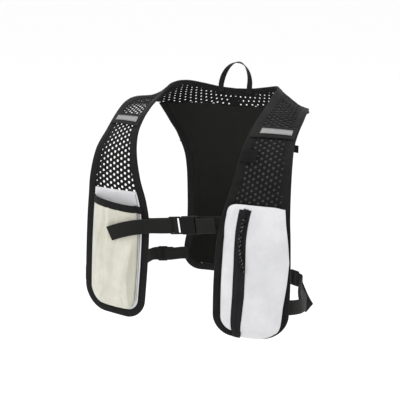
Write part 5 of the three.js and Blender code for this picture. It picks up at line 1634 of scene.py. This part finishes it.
def back_pocket():
    """The plain pocket over the back panel and its bound mouth."""
    rows, columns = 140, 120
    mouth = BACK_POCKET_TOP + BACK_POCKET_BINDING
    downs = mouth - 1 + (BACK_POCKET_FOOT - mouth + 1) * (1 - (1 - np.linspace(0, 1, rows)) ** 1.5)
    shares = np.sin(np.linspace(-math.pi / 2, math.pi / 2, columns))
    down, share = np.meshgrid(downs, shares, indexing="ij")
    folds = 0.7 * np.sin(down * 0.07 + share * 3.0) * np.cos(share * 5.0)
    folds += 0.5 * np.sin(down * 0.19 - share * 6.0)
    folds *= (1 - share**4) * smooth(BACK_POCKET_FOOT - down, 0, 25)
    faces = rounded(rows, columns, -CLOTH_HALF, CLOTH_HALF)
    grid = back_pocket_point(down, share, folds)
    sheet_piece("back_pocket_cloth", grid, *faces, BACKWARD, BLACK_CLOTH, "black_cloth", "back_pocket")
    downs = BACK_POCKET_TOP + BACK_MOUTH_PROFILE["down"]
    grid = back_pocket_point(*np.meshgrid(downs, shares, indexing="ij"))
    mouth_tape("back_pocket_mouth_tape", grid, BACK_MOUTH_PROFILE, 0.4, BACKWARD, "back_pocket_binding")
    line = back_pocket_point(BACK_POCKET_TOP + SEWN_LINE, shares, CLOTH_HALF + 0.9)
    normals = np.tile(BACKWARD, (columns, 1))
    stitches("back_pocket_mouth_stitches", line, normals, BINDING_STITCH, DARK_THREAD, "binding")


def back_loop(word, side, reach):
    """A small folded loop at an end of the back pocket's mouth."""
    lift = CLOTH_HALF + 1.3 * GAP + THIN_WEBBING / 2
    inner, outer = (back_pocket_point(BACK_POCKET_TOP + 17, side * share, lift) for share in (0.66, 0.76))
    out = unit(np.array([side, -0.05, -0.1]))
    stations = [
        (inner, UPWARD), (outer, UPWARD), (outer + out * 12, UPWARD), (outer + out * reach, UPWARD * 0.35),
    ]
    ribbon_piece(f"back_loop_{word}", stations, BACK_LOOP_WIDTH, THIN_WEBBING, 50)


back_pocket()
back_loop("left", 1, BACK_LOOP_REACH + 2)
back_loop("right", -1, BACK_LOOP_REACH)

# How far behind a side strap's rim its lock's start lies.
LOCK_IN_TAB = 14


def side_strap(word, side):
    """A side strap: its sewn tab and ladder lock at the back, and its webbing to the front panel."""
    behind = -(BINDING_THICK / 2 + 2 * GAP + WEBBING_THICK / 2)
    t = place_at(SIDE_LEVEL)
    sewn_across = along_panel(side, SIDE_LEVEL, np.array([side, 0.0, 0.0]))
    front_edge = strap_point(side, t, 1.0, behind)
    back_x = back_edge(SIDE_LEVEL_BACK)
    reach = unit(np.array([side * 0.92, -0.39, 0]))
    back_seat = back_point(side * (back_x - SEWN_UNDER), SIDE_LEVEL_BACK, SEWN_BEHIND)
    back_rim = back_point(side * (back_x + 1), SIDE_LEVEL_BACK, SEWN_BEHIND)
    lock_start = back_rim + reach * (SIDE_TAB_REACH - LOCK_IN_TAB) - UPWARD * SIDE_LOCK_SAG[word]
    slot = (LOCK_SLOT - SIDE_BAR_CLOSE, SLOT_HEIGHT)
    parts = [(LOCK_BAR, 0), slot, (LOCK_BAR + 2 * SIDE_BAR_CLOSE, 0), slot, (LOCK_BAR, 0)]
    moulded(
        f"side_lock_{word}_moulded", slot_loops(parts), LOCK_THICK, 0.6, lock_start, reach, UPWARD,
        PLASTIC, "buckle_plastic", f"side_lock_{word}",
    )
    outer = unit(np.cross(reach, UPWARD) * -side)
    rear_bar = lock_start + reach * LOCK_BAR
    tab = [
        (back_seat, UPWARD), (back_rim, UPWARD),
        (rear_bar - reach * (LOCK_BAR + 5) - outer * TURN_RADIUS, UPWARD),
        *half_turn(rear_bar, -reach, outer, UPWARD),
        (rear_bar - reach * (LOCK_BAR + 9) + outer * TURN_RADIUS, UPWARD),
    ]
    ribbon_piece(f"side_tab_{word}", tab, WEBBING_WIDTH, WEBBING_THICK, 90)

    front_bar = lock_start + reach * (frame_length(parts) - LOCK_BAR)
    arrive = front_bar + reach * (LOCK_BAR + 8) - outer * TURN_RADIUS
    out_direction = unit(np.array([side, 0.12, 0]))
    stations = [
        (strap_point(side, t, from_arm(t, inward), behind), sewn_across) for inward in (SEWN_UNDER, 0.5)
    ]
    for share, out, down in zip(*SIDE_STRAP_PATH.values()):
        point = mix(front_edge, arrive, share) + out_direction * out * SIDE_BOW - UPWARD * down * SIDE_BOW
        stations.append((point, unit(mix(sewn_across, UPWARD, min(1, share * 4)))))
    stations.append((arrive, UPWARD))
    stations += half_turn(front_bar, reach, outer, UPWARD)
    tail = SIDE_TAILS[word]
    direction = unit(np.array([side * tail["out"], -tail["fore"], -tail["down"]]))
    leaning = np.array([side * tail["lean"], 0, 1])
    tilt = unit(leaning - direction * np.dot(leaning, direction))
    start = front_bar + reach * (LOCK_BAR + tail["start"]) + outer * (TURN_RADIUS + 1.2)
    for share in np.linspace(0.05, 1, 5):
        bulge = outer * tail["bulge"] * math.sin(math.pi * share)
        point = start + direction * SIDE_TAIL_LENGTH * share + bulge
        stations.append((point, unit(mix(UPWARD, tilt, min(1, share * 2)))))
    ribbon_piece(f"side_webbing_{word}", stations, WEBBING_WIDTH, WEBBING_THICK, 300)


for word, side in SIDES:
    side_strap(word, side)


def yoke_tape():
    """The tape down the middle of the yoke's inside."""
    rows, columns = 40, 16
    middle = strap_point(1, 1.0, np.linspace(from_neck(1.0, BINDING_INSET + 1), 1, rows))
    grid = np.repeat(middle[:, None], columns, axis=1)
    grid[..., 0] = np.linspace(-YOKE_TAPE_WIDTH / 2, YOKE_TAPE_WIDTH / 2, columns)[None]
    high = -(MESH_CLOTH / 2 + GAP)
    faces = rounded(rows, columns, high - 1, high)
    sheet_piece("yoke_tape_woven", grid, *faces, BACKWARD, BLACK_CLOTH, "black_cloth", "yoke_tape")


yoke_tape()


def grab_loop():
    """The loop that stands up behind the neckline, sewn under its binding."""
    lift = -(BINDING_THICK / 2 + 2 * GAP + THIN_WEBBING / 2)
    t_foot = 1 - (GRAB_LOOP_HALF / (YOKE_SECTIONS["neckOut"][-2] * CHEST_HALF)) / SECTION_STEPS
    foot = strap_point(1, t_foot, from_neck(t_foot, BINDING_WIDTH / 2), lift)
    straight = 7

    def place(x, z, turn, lean):
        across = np.array([math.cos(turn), math.sin(turn), 0])
        return np.array([x + GRAB_LOOP_LEAN * lean, foot[1], foot[2] + z]), across

    stations = [place(-GRAB_LOOP_HALF, -3, 0, 0), place(-GRAB_LOOP_HALF, straight, 0, 0)]
    for angle in np.linspace(0, math.pi, 17)[1:-1]:
        z = straight + (GRAB_LOOP_HEIGHT - 2) * math.sin(angle)
        stations.append(place(-GRAB_LOOP_HALF * math.cos(angle), z, angle, math.sin(angle)))
    stations += [place(GRAB_LOOP_HALF, straight, math.pi, 0), place(GRAB_LOOP_HALF, -3, math.pi, 0)]
    ribbon_piece("grab_loop", stations, GRAB_LOOP_WIDTH, THIN_WEBBING, 180)


grab_loop()


def hose_flap():
    """The flap that keeps a drinking hose on the left strap."""
    rows, columns = 24, 40
    t = place_at(np.linspace(HOSE_FLAP_LEVEL, HOSE_FLAP_LEVEL + HOSE_FLAP_HEIGHT, rows))[:, None]
    shares = np.linspace(0, 1, columns)[None]
    grid = strap_point(1, t, from_neck(t, 1 + HOSE_FLAP_WIDTH * shares), shares**2)
    low = BINDING_THICK / 2 + GAP
    faces = rounded(rows, columns, low, low + THIN_WEBBING)
    outward = strap_normal(1, place_at(HOSE_FLAP_LEVEL), 0.5)
    sheet_piece("hose_flap_cloth", grid, *faces, outward, BLACK_CLOTH, "black_cloth", "hose_keeper_left")


hose_flap()

# Where the narrow zip's teeth run, in mm from the binding, and how thick they are.
SIDE_TEETH_INSET = 1.7
SIDE_TEETH_RADIUS = 0.32


def side_zip():
    """The narrow covered zip beside the flask pocket."""
    t = place_at(np.linspace(HEM_RADIUS_NECK, PANEL_HEIGHT - GAP, 120))[:, None]
    distance = np.linspace(BINDING_INSET - 1.5, BINDING_INSET + SIDE_ZIP_WIDTH, 14)
    grid = strap_point(-1, t, from_neck(t, distance[None]))
    ramp = 1.6 * (1 - smooth(distance, BINDING_INSET - 0.6, BINDING_INSET + 0.9))
    groove = 0.45 * np.exp(-(((distance - BINDING_INSET - SIDE_TEETH_INSET) / 0.3) ** 2))
    low = CLOTH_HALF + GAP + ramp
    high = low + ZIP_TAPE_THICK - groove
    outward = strap_normal(-1, place_at(90), 0.5)
    sheet_piece("side_zip_cover", grid, low, high, outward, WHITE_CLOTH, "white_cloth", "side_zip_right")
    t = t[:, 0]
    lift = CLOTH_HALF + GAP + ZIP_TAPE_THICK - 0.15
    teeth = strap_point(-1, t, from_neck(t, BINDING_INSET + SIDE_TEETH_INSET), lift)
    parts = tube_parts(teeth, np.full(len(t), SIDE_TEETH_RADIUS), 8)
    finish_piece(mesh_object("side_zip_teeth", *parts, GREY_THREAD), "zip_tape")


side_zip()

# The slider's outline, across and up, in mm, and the radius of the bridge that holds the cord.
SLIDER_OUTLINE = [(-3.4, 5), (-2.2, -4), (-1.2, -6), (1.2, -6), (2.2, -4), (3.4, 5)]
SLIDER_BRIDGE_RADIUS = 0.55


def zip_slider():
    """The slider: a tapered body with a bridge that holds the cord."""
    up = PULL_CORD_ROUTE["up"][0] + 6.5
    middle = (ZIP_ACROSS["at"][ZIP_FROM] + ZIP_ACROSS["at"][ZIP_TO]) / 2
    at = pocket_seat(up, middle, CLOTH_HALF + ZIP_TAPE_THICK + 2 * GAP + 0.6)
    upward = unit(pocket_seat(up + 4, middle, 0) - pocket_seat(up - 4, middle, 0))
    outward = strap_normal(1, place_at(up), 0.4)
    outward = unit(outward - upward * np.dot(outward, upward))
    along = np.cross(upward, outward)
    moulded(
        "zip_slider_body", [SLIDER_OUTLINE], 1.6, 0.4, at + outward * 0.9, along, upward,
        SLIDER, "zip_slider", "zip_slider_left",
    )
    turns = np.linspace(0, math.pi, 20)[:, None]
    bridge = at + outward * (1.6 + 1.5 * np.sin(turns)) + upward * (3.6 * np.cos(turns) + 0.2)
    parts = tube_parts(bridge, np.full(len(turns), SLIDER_BRIDGE_RADIUS), 10)
    finish_piece(mesh_object("zip_slider_bridge", *parts, SLIDER), "zip_slider")


zip_slider()

# Floor, world and lights.
FLOOR_DROP = 0.5
FLOOR_REACH = 12
floor_z = cad_box[0][2] - FLOOR_DROP
floor_corners = [
    (x * FLOOR_REACH, y * FLOOR_REACH, floor_z) for x, y in ((-1, -1), (1, -1), (1, 1), (-1, 1))
]
floor_mesh = bpy.data.meshes.new("floor")
floor_mesh.from_pydata(floor_corners, [], [(0, 1, 2, 3)])
floor_paint = Paint("pale floor", 0.9)
floor_mesh.materials.append(floor_paint.finish((0.985, 0.985, 0.985)))
floor = bpy.data.objects.new("floor", floor_mesh)
SCENE.collection.objects.link(floor)

world = bpy.data.worlds.new("studio")
world.use_nodes = True
background = world.node_tree.nodes["Background"]
background.inputs["Color"].default_value = (1, 1, 1, 1)
background.inputs["Strength"].default_value = 1.0
SCENE.world = world
SCENE.view_settings.view_transform = "Standard"


def area_light(name, place, target, size, power):
    light = bpy.data.lights.new(name, "AREA")
    light.shape = "SQUARE"
    light.size = size
    light.energy = power
    lamp = bpy.data.objects.new(name, light)
    lamp.location = place
    lamp.rotation_euler = (Vector(target) - Vector(place)).to_track_quat("-Z", "Y").to_euler()
    SCENE.collection.objects.link(lamp)


area_light("key", (-0.7, -1.1, 1.5), (0, 0, -0.12), 1.0, 8)
area_light("top", (0.3, 0.1, 1.6), (0, 0, -0.1), 1.2, 14)
